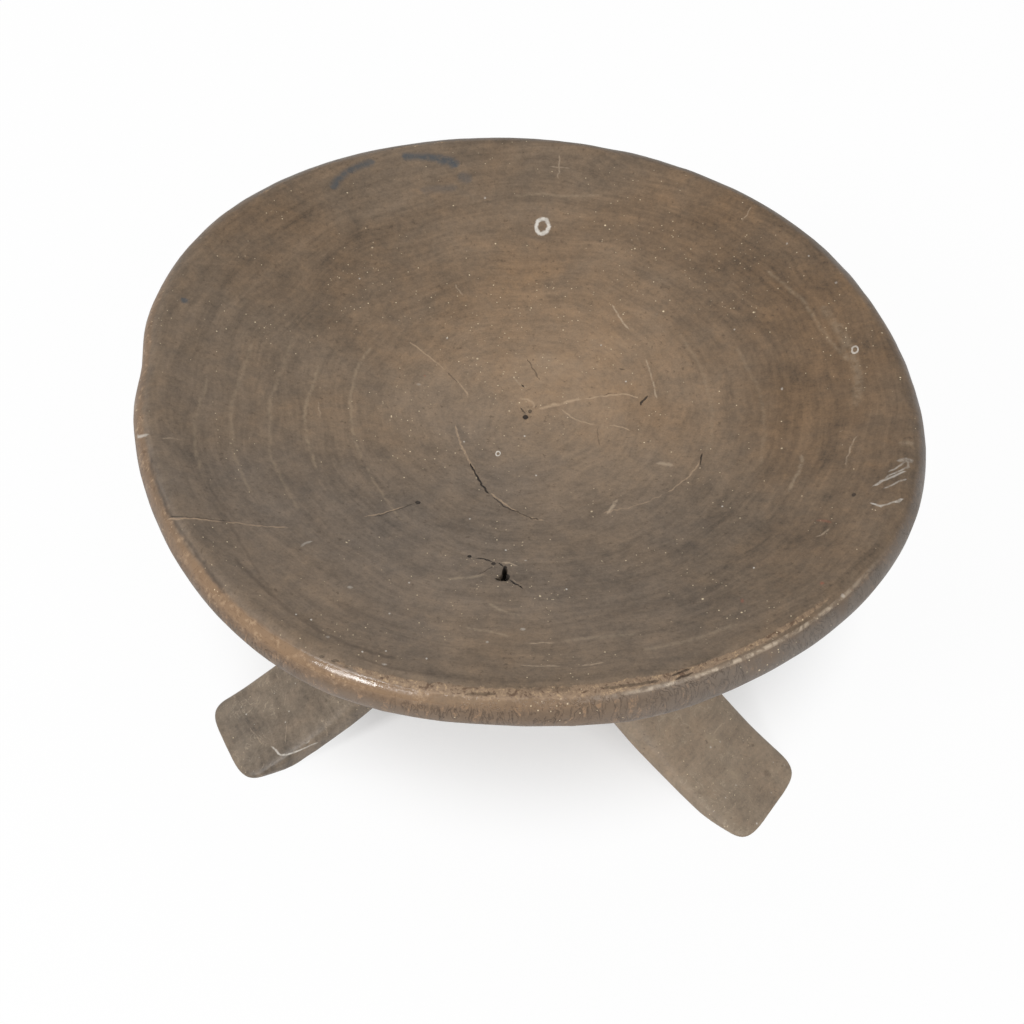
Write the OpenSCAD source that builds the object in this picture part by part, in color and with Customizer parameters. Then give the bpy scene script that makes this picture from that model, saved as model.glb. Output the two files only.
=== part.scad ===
// Carved three-legged stool: a round dished seat on three splayed legs, cut by hand from one wood.
// The origin is on the floor under the middle of the seat. +Z is up and the front is -Y.
// All sizes are in millimetres.

/* [Seat] */
// Mean diameter of the seat, over the rim
seat_d = 360; // [330:2:400]
// Mean height of the rim's crest above the floor
seat_h = 195; // [180:1:220]
// Depth of the dish below the crest
dish_depth = 27; // [18:1:32]
// Thickness of the wood in the middle of the dish
seat_t = 22; // [22:1:30]
// Height of the rolled rim
rim_h = 19; // [16:1:24]
// Width of the rolled rim
rim_w = 19; // [14:1:24]
// Rise of the crest on the seat's high side, with the same drop on its low side
seat_tilt = 2.5; // [0:0.5:5]
// Azimuth of the seat's high side
tilt_azimuth = 195; // [0:1:360]
// Unevenness of the hand-cut outline, where 1 is the real one
unevenness = 1; // [0:0.1:1.5]

/* [Legs] */
// Distance from the seat's middle to the tip of a foot
foot_reach = 157; // [145:1:162]
// Width of a foot near its tip
foot_w = 53; // [46:1:58]
// Width of a leg at its neck
neck_w = 62; // [56:1:68]
// Distance from the seat's middle to the outer face of a leg at its neck
neck_out = 76; // [72:1:82]
// Thickness of a leg at its neck, from the outer to the inner face
neck_t = 46; // [40:1:48]
// Length of the flat sole along the foot
sole_l = 31; // [26:1:50]
// Widening of a leg all round where it runs into the seat
root_flare = 14; // [6:1:18]

/* [Joints] */
// Height of the root that is carved on the seat's underside for each leg
root_h = 9; // [7:1:12]
// Diameter of the round tenon on top of a leg
tenon_d = 28; // [22:1:30]
// Length of the tenon
tenon_l = 18; // [14:1:18]
// Gap between the tenon and its socket, all round
tenon_gap = 0.1; // [0.05:0.05:0.3]

/* [Hidden] */

seat_wood = [0.49, 0.43, 0.36];
leg_wood = [0.47, 0.42, 0.36];

// What the carver's hand left on each leg: its azimuth, how far its neck stands outward,
// how much wider it is, and the slant of its tip.
front_left = [-150.7, 4.3, -1, -0.05];
front_right = [-31, -6, 1, -0.06];
back = [90, 0, 0, 0.03];

// Waves of the outline: how many lobes go round, their height, and the azimuth of one of them.
outline_waves = [[2, 3.3, -55.5], [3, 1.85, 13], [4, 1.95, -28], [7, 0.3, -8]];

// Worn places on the rim: azimuth, depth and half the width in degrees.
rim_dents = [[183, 2.6, 6.6]];

// Places where the rim is left thicker underneath: azimuth, depth and half the width in degrees.
rim_swells = [[-67.6, 6.4, 13.2], [-110, 3.7, 17]];

// Power of the way in which a thicker place dies out along the belly.
swell_power = 6;

// Angles on the rim's oval section where the dish and the belly run into it.
dish_angle = 107;
belly_angle = -68;
belly_power = 2.2;

// Steps round the seat, and steps along the dish, the rim and the belly.
seat_steps = 90;
dish_steps = 9;
rim_steps = 10;
belly_steps = 8;

rim_a = rim_w / 2;
rim_b = rim_h / 2;
rim_r = seat_d / 2 - rim_a;
rim_z = seat_h - rim_b;
dish_z = seat_h - dish_depth;
belly_z = dish_z - seat_t;

// Steps round a leg, steps up it, and steps up its root on the seat.
leg_steps = 32;
leg_rings = 16;
root_rings = 5;

// Rings crowd towards the foot, where a leg curves the most.
ring_crowding = 1.8;

// Power of the sweep of a leg's outer and inner faces from the neck to the foot.
outer_sweep = 4.4;
inner_sweep = 2.9;

// Power of a leg's level section, an oval with squared ends: at the neck, and what the foot adds.
neck_squareness = 2.6;
foot_squareness = 1.6;

// A foot's tip is worn round over this height, and drawn back by this much at the floor.
nose_h = 3;
nose_cut = 4;

// The flare of a leg's root starts this far below the shoulder and ends inside the seat.
flare_drop = 27;
flare_power = 2.5;
root_bury = 12;

shoulder_z = belly_z - root_h;
root_top = belly_z + root_bury;
flare_start = shoulder_z - flare_drop;
socket_spare = 1;
joint_steps = 64;

function vector_sum(v, i = 0) = i < len(v) ? v[i] + vector_sum(v, i + 1) : 0;

function signed_power(value, power) = sign(value) * pow(abs(value), power);

// The smaller angle between two azimuths.
function apart(a, b) = abs((a - b + 540) % 360 - 180);

// A point on the rim's oval section, as [radius, height].
function rim_point(angle) = [rim_r + rim_a * cos(angle), rim_z + rim_b * sin(angle)];

// The dish is a parabola from the middle of the seat to the rim.
dish_edge = rim_point(dish_angle);
function dish_point(t) = [dish_edge.x * t, dish_z + (dish_edge.y - dish_z) * t * t];

// The belly is a flatter curve from the rim to the middle of the underside.
belly_edge = rim_point(belly_angle);
function belly_point(t) = [belly_edge.x * t, belly_z + (belly_edge.y - belly_z) * pow(t, belly_power)];

// How much of a thicker place shows at an angle on the rim's section: all of it right underneath.
function underside(angle) = max(0, -sin(angle));

// The seat's section from near the middle of the dish, over the rim, to near the middle of the belly.
// The third number of a point is its share of a thicker place.
seat_section = concat(
    [for (i = [1 : dish_steps]) concat(dish_point(i / dish_steps), 0)],
    [for (i = [1 : rim_steps])
        let (angle = dish_angle + (belly_angle - dish_angle) * i / rim_steps)
        concat(rim_point(angle), underside(angle))],
    [for (i = [belly_steps - 1 : -1 : 1])
        let (t = i / belly_steps)
        concat(belly_point(t), underside(belly_angle) * pow(t, swell_power))]
);

// The sum of soft bumps, each with its azimuth, height and half width, at an azimuth.
function bumps(places, azimuth) =
    vector_sum([for (p = places) p[1] * exp(-pow(apart(azimuth, p[0]) / p[2], 2))]);

// How far the outline stands out from a round one at an azimuth.
function outline(azimuth) =
    unevenness * (
        vector_sum([for (w = outline_waves) w[1] * cos(w[0] * (azimuth - w[2]))])
        - bumps(rim_dents, azimuth)
    );

// The outline's waves die out towards the middle, and the whole seat leans to its low side.
function seat_point(section, azimuth) =
    let (
        out = section.x / rim_r,
        r = section.x + outline(azimuth) * out * out,
        lean = seat_tilt * r / rim_r * cos(azimuth - tilt_azimuth),
        sag = unevenness * bumps(rim_swells, azimuth) * section.z
    )
    [r * cos(azimuth), r * sin(azimuth), section.y + lean - sag];

// Faces of a closed stack of rings, between a pole before the first ring and one after the last.
function stack_faces(rings, steps) =
    let (last = rings * steps + 1)
    concat(
        [for (i = [0 : steps - 1]) [0, 1 + (i + 1) % steps, 1 + i]],
        [for (k = [0 : rings - 2], i = [0 : steps - 1])
            let (a = 1 + k * steps + i, b = 1 + k * steps + (i + 1) % steps)
            [a, b, b + steps]],
        [for (k = [0 : rings - 2], i = [0 : steps - 1])
            let (a = 1 + k * steps + i, b = 1 + k * steps + (i + 1) % steps)
            [a, b + steps, a + steps]],
        [for (i = [0 : steps - 1])
            [last, 1 + (rings - 1) * steps + i, 1 + (rings - 1) * steps + (i + 1) % steps]]
    );

module seat_disc() {
    points = concat(
        [[0, 0, dish_z]],
        [for (section = seat_section, i = [0 : seat_steps - 1]) seat_point(section, 360 * i / seat_steps)],
        [[0, 0, belly_z]]
    );
    polyhedron(points, stack_faces(len(seat_section), seat_steps));
}

// How far a height is towards the foot: 1 on the floor and 0 from the shoulder up.
function foot_share(z) = 1 - min(1, z / shoulder_z);
function nose(z) = nose_cut * pow(max(0, 1 - z / nose_h), 2);
function flare(z) = root_flare * pow(max(0, z - flare_start) / (root_top - flare_start), flare_power);

// Distance of a leg's outer and inner faces from the seat's middle at a height.
function outer_face(z, neck) =
    neck + (foot_reach + nose_cut - neck) * pow(foot_share(z), outer_sweep) - nose(z) + flare(z);
function inner_face(z, neck) =
    neck - neck_t + (foot_reach - sole_l - neck + neck_t) * pow(foot_share(z), inner_sweep) - flare(z);
function leg_width(z, wider) =
    neck_w + wider - (neck_w - foot_w) * foot_share(z) - nose(z) / 2 + 2 * flare(z);

// The points of a leg's level section at a height, with the leg reaching along +X.
function leg_ring(z, place) =
    let (
        outer = outer_face(z, neck_out + place[1]),
        inner = inner_face(z, neck_out + place[1]),
        width = leg_width(z, place[2]),
        slant = place[3] * pow(foot_share(z), 3),
        power = 2 / (neck_squareness + foot_squareness * foot_share(z))
    )
    [for (i = [0 : leg_steps - 1])
        let (
            angle = 360 * i / leg_steps,
            across = width / 2 * signed_power(sin(angle), power),
            along = (outer + inner) / 2 + (outer - inner) / 2 * signed_power(cos(angle), power)
        )
        [along + slant * across, across, z]];

// The middle of a leg's level section at a height.
function leg_middle(z, place) =
    [(outer_face(z, neck_out + place[1]) + inner_face(z, neck_out + place[1])) / 2, 0, z];

// A leg's form between two heights. It makes both the leg and its root on the seat, so they meet flush.
module leg_form(low, high, rings, crowding, place) {
    heights = [for (k = [rings : -1 : 0]) low + (high - low) * pow(k / rings, crowding)];
    points = concat(
        [leg_middle(high, place)],
        [for (z = heights, p = leg_ring(z, place)) p],
        [leg_middle(low, place)]
    );
    polyhedron(points, stack_faces(rings + 1, leg_steps));
}

// A round bar on the tenon's axis, which starts just below the shoulder.
module joint_bar(place, diameter, length) {
    start = 1;
    translate([neck_out + place[1] - neck_t / 2, 0, shoulder_z - start])
    cylinder(d = diameter, h = length + start, $fn = joint_steps);
}

module leg(place) {
    color(leg_wood)
    rotate([0, 0, place[0]])
    union() {
        leg_form(0, shoulder_z, leg_rings, ring_crowding, place);
        joint_bar(place, tenon_d, tenon_l);
    }
}

module root(place) {
    rotate([0, 0, place[0]])
    leg_form(shoulder_z, root_top, root_rings, 1, place);
}

module socket(place) {
    rotate([0, 0, place[0]])
    joint_bar(place, tenon_d + 2 * tenon_gap, tenon_l + socket_spare);
}

module seat() {
    color(seat_wood)
    difference() {
        union() {
            seat_disc();
            for (place = [front_left, front_right, back]) root(place);
        }
        for (place = [front_left, front_right, back]) socket(place);
    }
}

module leg_front_left() {
    leg(front_left);
}

module leg_front_right() {
    leg(front_right);
}

module leg_back() {
    leg(back);
}

seat();
leg_front_left();
leg_front_right();
leg_back();
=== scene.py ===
"""Looks of the carved three-legged stool: a worn dished seat and three swept legs.

Everything is in the part's own frame, in metres: +Z is up, the front is -Y, and the origin is on the
floor under the middle of the seat. Sizes in the classes are in millimetres, and MM turns them into metres.
"""

import logging
import math
from collections.abc import Iterable, Iterator, Sequence
from contextlib import contextmanager
from dataclasses import dataclass, field
from enum import Enum
from itertools import pairwise

import bpy
import numpy as np
from mathutils import Matrix, Vector, noise


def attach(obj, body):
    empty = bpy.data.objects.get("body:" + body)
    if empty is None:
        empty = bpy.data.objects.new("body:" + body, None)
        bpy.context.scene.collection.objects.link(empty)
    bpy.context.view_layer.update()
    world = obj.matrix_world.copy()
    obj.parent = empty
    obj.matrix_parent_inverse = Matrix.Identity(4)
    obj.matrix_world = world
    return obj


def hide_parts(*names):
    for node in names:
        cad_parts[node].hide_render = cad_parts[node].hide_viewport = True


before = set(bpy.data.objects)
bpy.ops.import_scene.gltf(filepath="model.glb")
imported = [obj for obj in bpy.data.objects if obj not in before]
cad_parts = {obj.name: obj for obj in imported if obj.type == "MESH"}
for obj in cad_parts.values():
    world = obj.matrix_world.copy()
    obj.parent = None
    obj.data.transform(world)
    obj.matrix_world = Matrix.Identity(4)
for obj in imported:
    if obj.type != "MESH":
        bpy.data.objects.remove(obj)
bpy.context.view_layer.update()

MM = 0.001
SMOOTH_ANGLE = 50

log = logging.getLogger("stool")

Socket = bpy.types.NodeSocket
Point = tuple[float, float]
Bump = tuple[float, float, float]
Paint = tuple[float, float, float, float]


def paint(red: int, green: int, blue: int) -> Paint:
    """Turn a colour as the eye names it, 0 to 255 a channel, into the light that it stands for.

    Args:
        red: Red channel.
        green: Green channel.
        blue: Blue channel.

    Returns:
        The colour in linear light, with full opacity.
    """

    def light(channel: int) -> float:
        """One channel in linear light."""
        share = channel / 255
        return share / 12.92 if share <= 0.04045 else ((share + 0.055) / 1.055) ** 2.4

    return (light(red), light(green), light(blue), 1.0)


def select_only(obj: bpy.types.Object | None) -> None:
    """Deselect everything, then select one object and make it active.

    Args:
        obj: The object, or None to leave nothing selected.
    """
    for other in bpy.context.selected_objects:
        other.select_set(False)
    if obj is not None:
        obj.select_set(True)
    bpy.context.view_layer.objects.active = obj


@contextmanager
def editing(obj: bpy.types.Object, element: str = "VERT") -> Iterator[None]:
    """Open an object in edit mode for the length of a with block.

    Args:
        obj: The mesh object.
        element: What is selected: VERT, EDGE or FACE.

    Yields:
        Nothing; edit mode is open inside the block.
    """
    select_only(obj)
    bpy.ops.object.mode_set(mode="EDIT")
    bpy.ops.mesh.select_mode(type=element)
    try:
        yield
    finally:
        bpy.ops.object.mode_set(mode="OBJECT")


def apply_modifier(obj: bpy.types.Object, kind: str, **settings: object) -> None:
    """Add a modifier, set it and apply it.

    Args:
        obj: The mesh object.
        kind: The modifier's type.
        **settings: Its settings, by name.
    """
    select_only(obj)
    modifier = obj.modifiers.new(kind.title(), kind)
    for name, value in settings.items():
        setattr(modifier, name, value)
    bpy.ops.object.modifier_apply(modifier=modifier.name)


def read_points(obj: bpy.types.Object) -> np.ndarray:
    """Read a mesh's points.

    Args:
        obj: The mesh object.

    Returns:
        The points in millimetres, one row each.
    """
    flat = np.empty(len(obj.data.vertices) * 3)
    obj.data.vertices.foreach_get("co", flat)
    return flat.reshape(-1, 3) / MM


def write_points(obj: bpy.types.Object, points: np.ndarray) -> None:
    """Put a mesh's points at new places.

    Args:
        obj: The mesh object.
        points: The places in millimetres, one row each.
    """
    obj.data.vertices.foreach_set("co", (points * MM).ravel())
    obj.data.update()


def azimuths(points: np.ndarray) -> np.ndarray:
    """Azimuths of points about the Z axis, in degrees from +X."""
    return np.degrees(np.arctan2(points[:, 1], points[:, 0]))


def read_normals(obj: bpy.types.Object) -> np.ndarray:
    """Read the outward direction at each point of a mesh.

    Args:
        obj: The mesh object.

    Returns:
        The directions, one row each.
    """
    flat = np.empty(len(obj.data.vertices) * 3)
    obj.data.vertex_normals.foreach_get("vector", flat)
    return flat.reshape(-1, 3)


def select_points(obj: bpy.types.Object, chosen: np.ndarray) -> None:
    """Select some points of a mesh, with the edges and faces that they make up.

    Args:
        obj: The mesh object, in object mode.
        chosen: True for each point to select.
    """
    mesh = obj.data
    mesh.vertices.foreach_set("select", chosen)
    for elements in (mesh.edges, mesh.polygons):
        marks = [all(chosen[v] for v in element.vertices) for element in elements]
        elements.foreach_set("select", marks)


def smoothstep(low: float, high: float, value: np.ndarray) -> np.ndarray:
    """Rise smoothly from 0 to 1 while a value goes from low to high."""
    share = np.clip((value - low) / (high - low), 0, 1)
    return share * share * (3 - 2 * share)


def signed_power(value: np.ndarray, power: np.ndarray) -> np.ndarray:
    """Raise a value's size to a power and keep its sign."""
    return np.sign(value) * np.abs(value) ** power


@dataclass(frozen=True)
class Band:
    """A range of numbers with soft edges: it opens from start to full and closes from fade to end."""

    start: float
    full: float
    fade: float
    end: float

    def share(self, value: np.ndarray) -> np.ndarray:
        """How far values are in the band, from 0 to 1."""
        return smoothstep(self.start, self.full, value) * smoothstep(self.end, self.fade, value)

    def round_share(self, azimuth: np.ndarray) -> np.ndarray:
        """How far azimuths are in the band, counted in degrees from -200 to 160."""
        return self.share((azimuth + 200) % 360 - 200)


@dataclass(frozen=True)
class Hollows:
    """Soft uneven hollows: their depth and rough width in millimetres, and a seed that moves them."""

    depth: float
    width: float
    seed: float

    def cut(self, points: np.ndarray) -> np.ndarray:
        """Work out how deep the wood is cut.

        Args:
            points: Places on the wood, in millimetres.

        Returns:
            The depth at each place, in millimetres.
        """
        shift = Vector((self.seed, -self.seed * 1.7, self.seed * 0.6))
        left = np.array([0.5 + 0.5 * noise.noise(Vector(p) / self.width + shift) for p in points])
        return self.depth * (1 - left)


@dataclass(frozen=True)
class Scoops(Hollows):
    """Shallow scoops with low ridges between them, as an adze leaves them, longer down than across."""

    def cut(self, points: np.ndarray) -> np.ndarray:
        """Work out how deep the wood is scooped.

        Args:
            points: Places on the wood, in millimetres.

        Returns:
            The depth at each place, in millimetres: most in the middle of a scoop, nothing on a ridge.
        """
        shift = Vector((self.seed, self.seed * 0.4, -self.seed))
        places = points * np.array((1, 1, 0.6))
        near = np.array([noise.voronoi(Vector(p) / self.width + shift)[0][:2] for p in places])
        return self.depth * (1 - np.clip((near[:, 0] / near[:, 1]) ** 2, 0, 1))


@dataclass(frozen=True)
class Pattern:
    """A noise: its bumps to the metre, its finer and finer layers, their weight, and its twist."""

    scale: float
    detail: float = 2
    roughness: float = 0.5
    twist: float = 0


class Graph:
    """A node tree, with short words for the nodes that wood needs.

    A number or a colour may be given as a plain value, or as the socket of a node that makes it.
    """

    def __init__(self, owner: bpy.types.Material | bpy.types.World) -> None:
        """Empty the node tree of a material or the sky.

        Args:
            owner: What the tree belongs to.
        """
        owner.use_nodes = True
        self.tree = owner.node_tree
        self.tree.nodes.clear()

    def node(self, kind: str, **settings: object) -> bpy.types.Node:
        """Add a node.

        Args:
            kind: The node's type.
            **settings: Its properties, by name.

        Returns:
            The node.
        """
        made = self.tree.nodes.new(kind)
        for name, value in settings.items():
            setattr(made, name, value)
        return made

    def put(self, target: Socket, value: object) -> None:
        """Link a socket to an input, or set the input where the value is a plain one.

        Args:
            target: The input.
            value: The socket or the value, or None to leave the input as it is.
        """
        if isinstance(value, bpy.types.NodeSocket):
            self.tree.links.new(value, target)
        elif value is not None:
            target.default_value = value

    def math(self, operation: str, *values: object) -> Socket:
        """Work out a number from one to three others.

        Args:
            operation: The name of the node's operation.
            *values: The numbers.

        Returns:
            The result.
        """
        made = self.node("ShaderNodeMath", operation=operation)
        for target, value in zip(made.inputs, values):
            self.put(target, value)
        return made.outputs[0]

    def times(self, first: object, second: object) -> Socket:
        """Multiply two numbers."""
        return self.math("MULTIPLY", first, second)

    def scaled(self, value: object, factor: object, base: object) -> Socket:
        """Multiply a number and add it to another."""
        return self.math("MULTIPLY_ADD", value, factor, base)

    def clamped(self, value: Socket) -> Socket:
        """Keep a number from 0 to 1.

        Args:
            value: The number.

        Returns:
            The number, or the end that it passes.
        """
        made = self.node("ShaderNodeClamp")
        self.put(made.inputs[0], value)
        return made.outputs[0]

    def vector(self, operation: str, *values: object, scale: object = None) -> bpy.types.Node:
        """Work on vectors.

        Args:
            operation: The name of the node's operation.
            *values: The vectors.
            scale: The factor of a SCALE.

        Returns:
            The node itself, because some results are vectors and some are numbers.
        """
        made = self.node("ShaderNodeVectorMath", operation=operation)
        for target, value in zip(made.inputs, values):
            self.put(target, value)
        if scale is not None:
            self.put(made.inputs["Scale"], scale)
        return made

    def total(self, values: Iterable[object], operation: str = "ADD") -> Socket:
        """Join several numbers by one operation.

        Args:
            values: The numbers.
            operation: The operation, such as ADD or MAXIMUM.

        Returns:
            The result.
        """
        result = None
        for value in values:
            result = value if result is None else self.math(operation, result, value)
        return result

    def ranged(self, value: Socket, low: float, high: float, start: float = 0, end: float = 1) -> Socket:
        """Carry a value smoothly from start to end while it goes from low to high.

        Args:
            value: The value.
            low: Where the change begins.
            high: Where it is complete.
            start: The result at low and before.
            end: The result at high and beyond.

        Returns:
            The result.
        """
        made = self.node("ShaderNodeMapRange", interpolation_type="SMOOTHSTEP", clamp=False)
        for target, given in zip(made.inputs, (value, low, high, start, end)):
            self.put(target, given)
        return made.outputs[0]

    def attribute(self, name: str, output: str = "Fac") -> Socket:
        """Numbers that a mesh keeps on its points."""
        return self.node("ShaderNodeAttribute", attribute_name=name).outputs[output]

    def noise(self, place: Socket, pattern: Pattern) -> bpy.types.Node:
        """Add a noise texture.

        Args:
            place: The place on the piece.
            pattern: The noise.

        Returns:
            The node, whose first output is a number and whose second is a colour.
        """
        made = self.node("ShaderNodeTexNoise")
        self.put(made.inputs["Vector"], place)
        made.inputs["Scale"].default_value = pattern.scale
        made.inputs["Detail"].default_value = pattern.detail
        made.inputs["Roughness"].default_value = pattern.roughness
        made.inputs["Distortion"].default_value = pattern.twist
        return made

    def field(self, place: Socket, pattern: Pattern) -> Socket:
        """A noise as a number from 0 to 1."""
        return self.noise(place, pattern).outputs[0]

    def cells(self, place: Socket, scale: float) -> bpy.types.Node:
        """Add a cell texture.

        Args:
            place: The place on the piece.
            scale: Cells to the metre.

        Returns:
            The node.
        """
        made = self.node("ShaderNodeTexVoronoi")
        self.put(made.inputs["Vector"], place)
        made.inputs["Scale"].default_value = scale
        return made

    def mix(self, share: object, first: object, second: object) -> Socket:
        """Blend two colours.

        Args:
            share: How much of the second there is, from 0 to 1.
            first: The first colour.
            second: The second colour.

        Returns:
            The blend.
        """
        made = self.node("ShaderNodeMix", data_type="RGBA")
        for index, value in ((0, share), (6, first), (7, second)):
            self.put(made.inputs[index], value)
        return made.outputs[2]

    def ramp(self, value: Socket, stops: Sequence[tuple[float, Paint]]) -> Socket:
        """Turn a number into a colour along a ramp.

        Args:
            value: The number.
            stops: Places on the ramp, each with its colour.

        Returns:
            The colour.
        """
        made = self.node("ShaderNodeValToRGB")
        elements = made.color_ramp.elements
        for index, (position, colour) in enumerate(stops):
            element = elements[index] if index < len(elements) else elements.new(position)
            element.position = position
            element.color = colour
        self.put(made.inputs[0], value)
        return made.outputs[0]


class Mark(Enum):
    """What a line or a spot on the wood is."""

    SHADE = "dark stain"
    BLOOM = "pale worn patch"
    INK = "blue-black stain"
    RING = "growth ring that stands out"
    RUST = "rusty red fleck"
    SCRATCH = "dry scratch"
    HEALED = "closed crack, filled pale"
    CHALK = "chalky white streak"
    SPLASH = "drop of chalk, dried to a ring"
    CRACK = "open crack, dark inside"


@dataclass(frozen=True)
class MarkFinish:
    """How one kind of mark looks. The depth is in millimetres, and an outline makes its spots rings."""

    colour: Paint
    strength: float
    softness: float
    broken: float = 0.0
    depth: float = 0.0
    dryness: float = 0.0
    outline: float = 0.0
    spot_core: float = 0.0


MARK_FINISHES = {
    Mark.SHADE: MarkFinish(paint(66, 54, 44), 0.5, 0.95, broken=0.3),
    Mark.BLOOM: MarkFinish(paint(168, 150, 126), 0.4, 1.0, broken=0.8),
    Mark.INK: MarkFinish(paint(56, 70, 80), 0.7, 0.9, broken=0.35),
    Mark.RING: MarkFinish(paint(166, 146, 120), 0.32, 1.0, broken=0.75),
    Mark.RUST: MarkFinish(paint(160, 80, 56), 0.75, 0.9, broken=0.6),
    Mark.SCRATCH: MarkFinish(paint(186, 166, 142), 0.7, 0.9, broken=0.65, dryness=0.2),
    Mark.HEALED: MarkFinish(paint(182, 156, 128), 0.78, 0.9, broken=0.5, depth=0.06, dryness=0.1),
    Mark.CHALK: MarkFinish(paint(214, 208, 198), 0.72, 0.7, broken=0.6, dryness=0.3),
    Mark.SPLASH: MarkFinish(paint(220, 214, 204), 0.9, 0.6, broken=0.3, dryness=0.3, outline=0.3),
    Mark.CRACK: MarkFinish(paint(26, 20, 16), 0.95, 0.6, broken=0.15, depth=0.5, dryness=0.3, spot_core=0.9),
}


@dataclass(frozen=True)
class Line:
    """A line on the wood, through points in millimetres."""

    mark: Mark
    half_width: float
    points: tuple[Sequence[float], ...]
    strength: float = 1.0


@dataclass(frozen=True)
class Spot:
    """An oval spot on the wood, with half its width and half its depth in millimetres."""

    mark: Mark
    centre: Sequence[float]
    wide: float
    deep: float
    strength: float = 1.0


@dataclass(frozen=True)
class Patch:
    """A soft place on the seat that is lighter, warmer or more specked than the rest."""

    centre: Point
    wide: float
    deep: float
    tone: float = 0.0
    warmth: float = 0.0
    specks: float = 0.0


def alike(kind: type, mark: Mark, rows: Iterable[tuple]) -> Iterator[Line | Spot]:
    """Lines or spots of one mark, from rows of what else they need."""
    return (kind(mark, *row) for row in rows)


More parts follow.
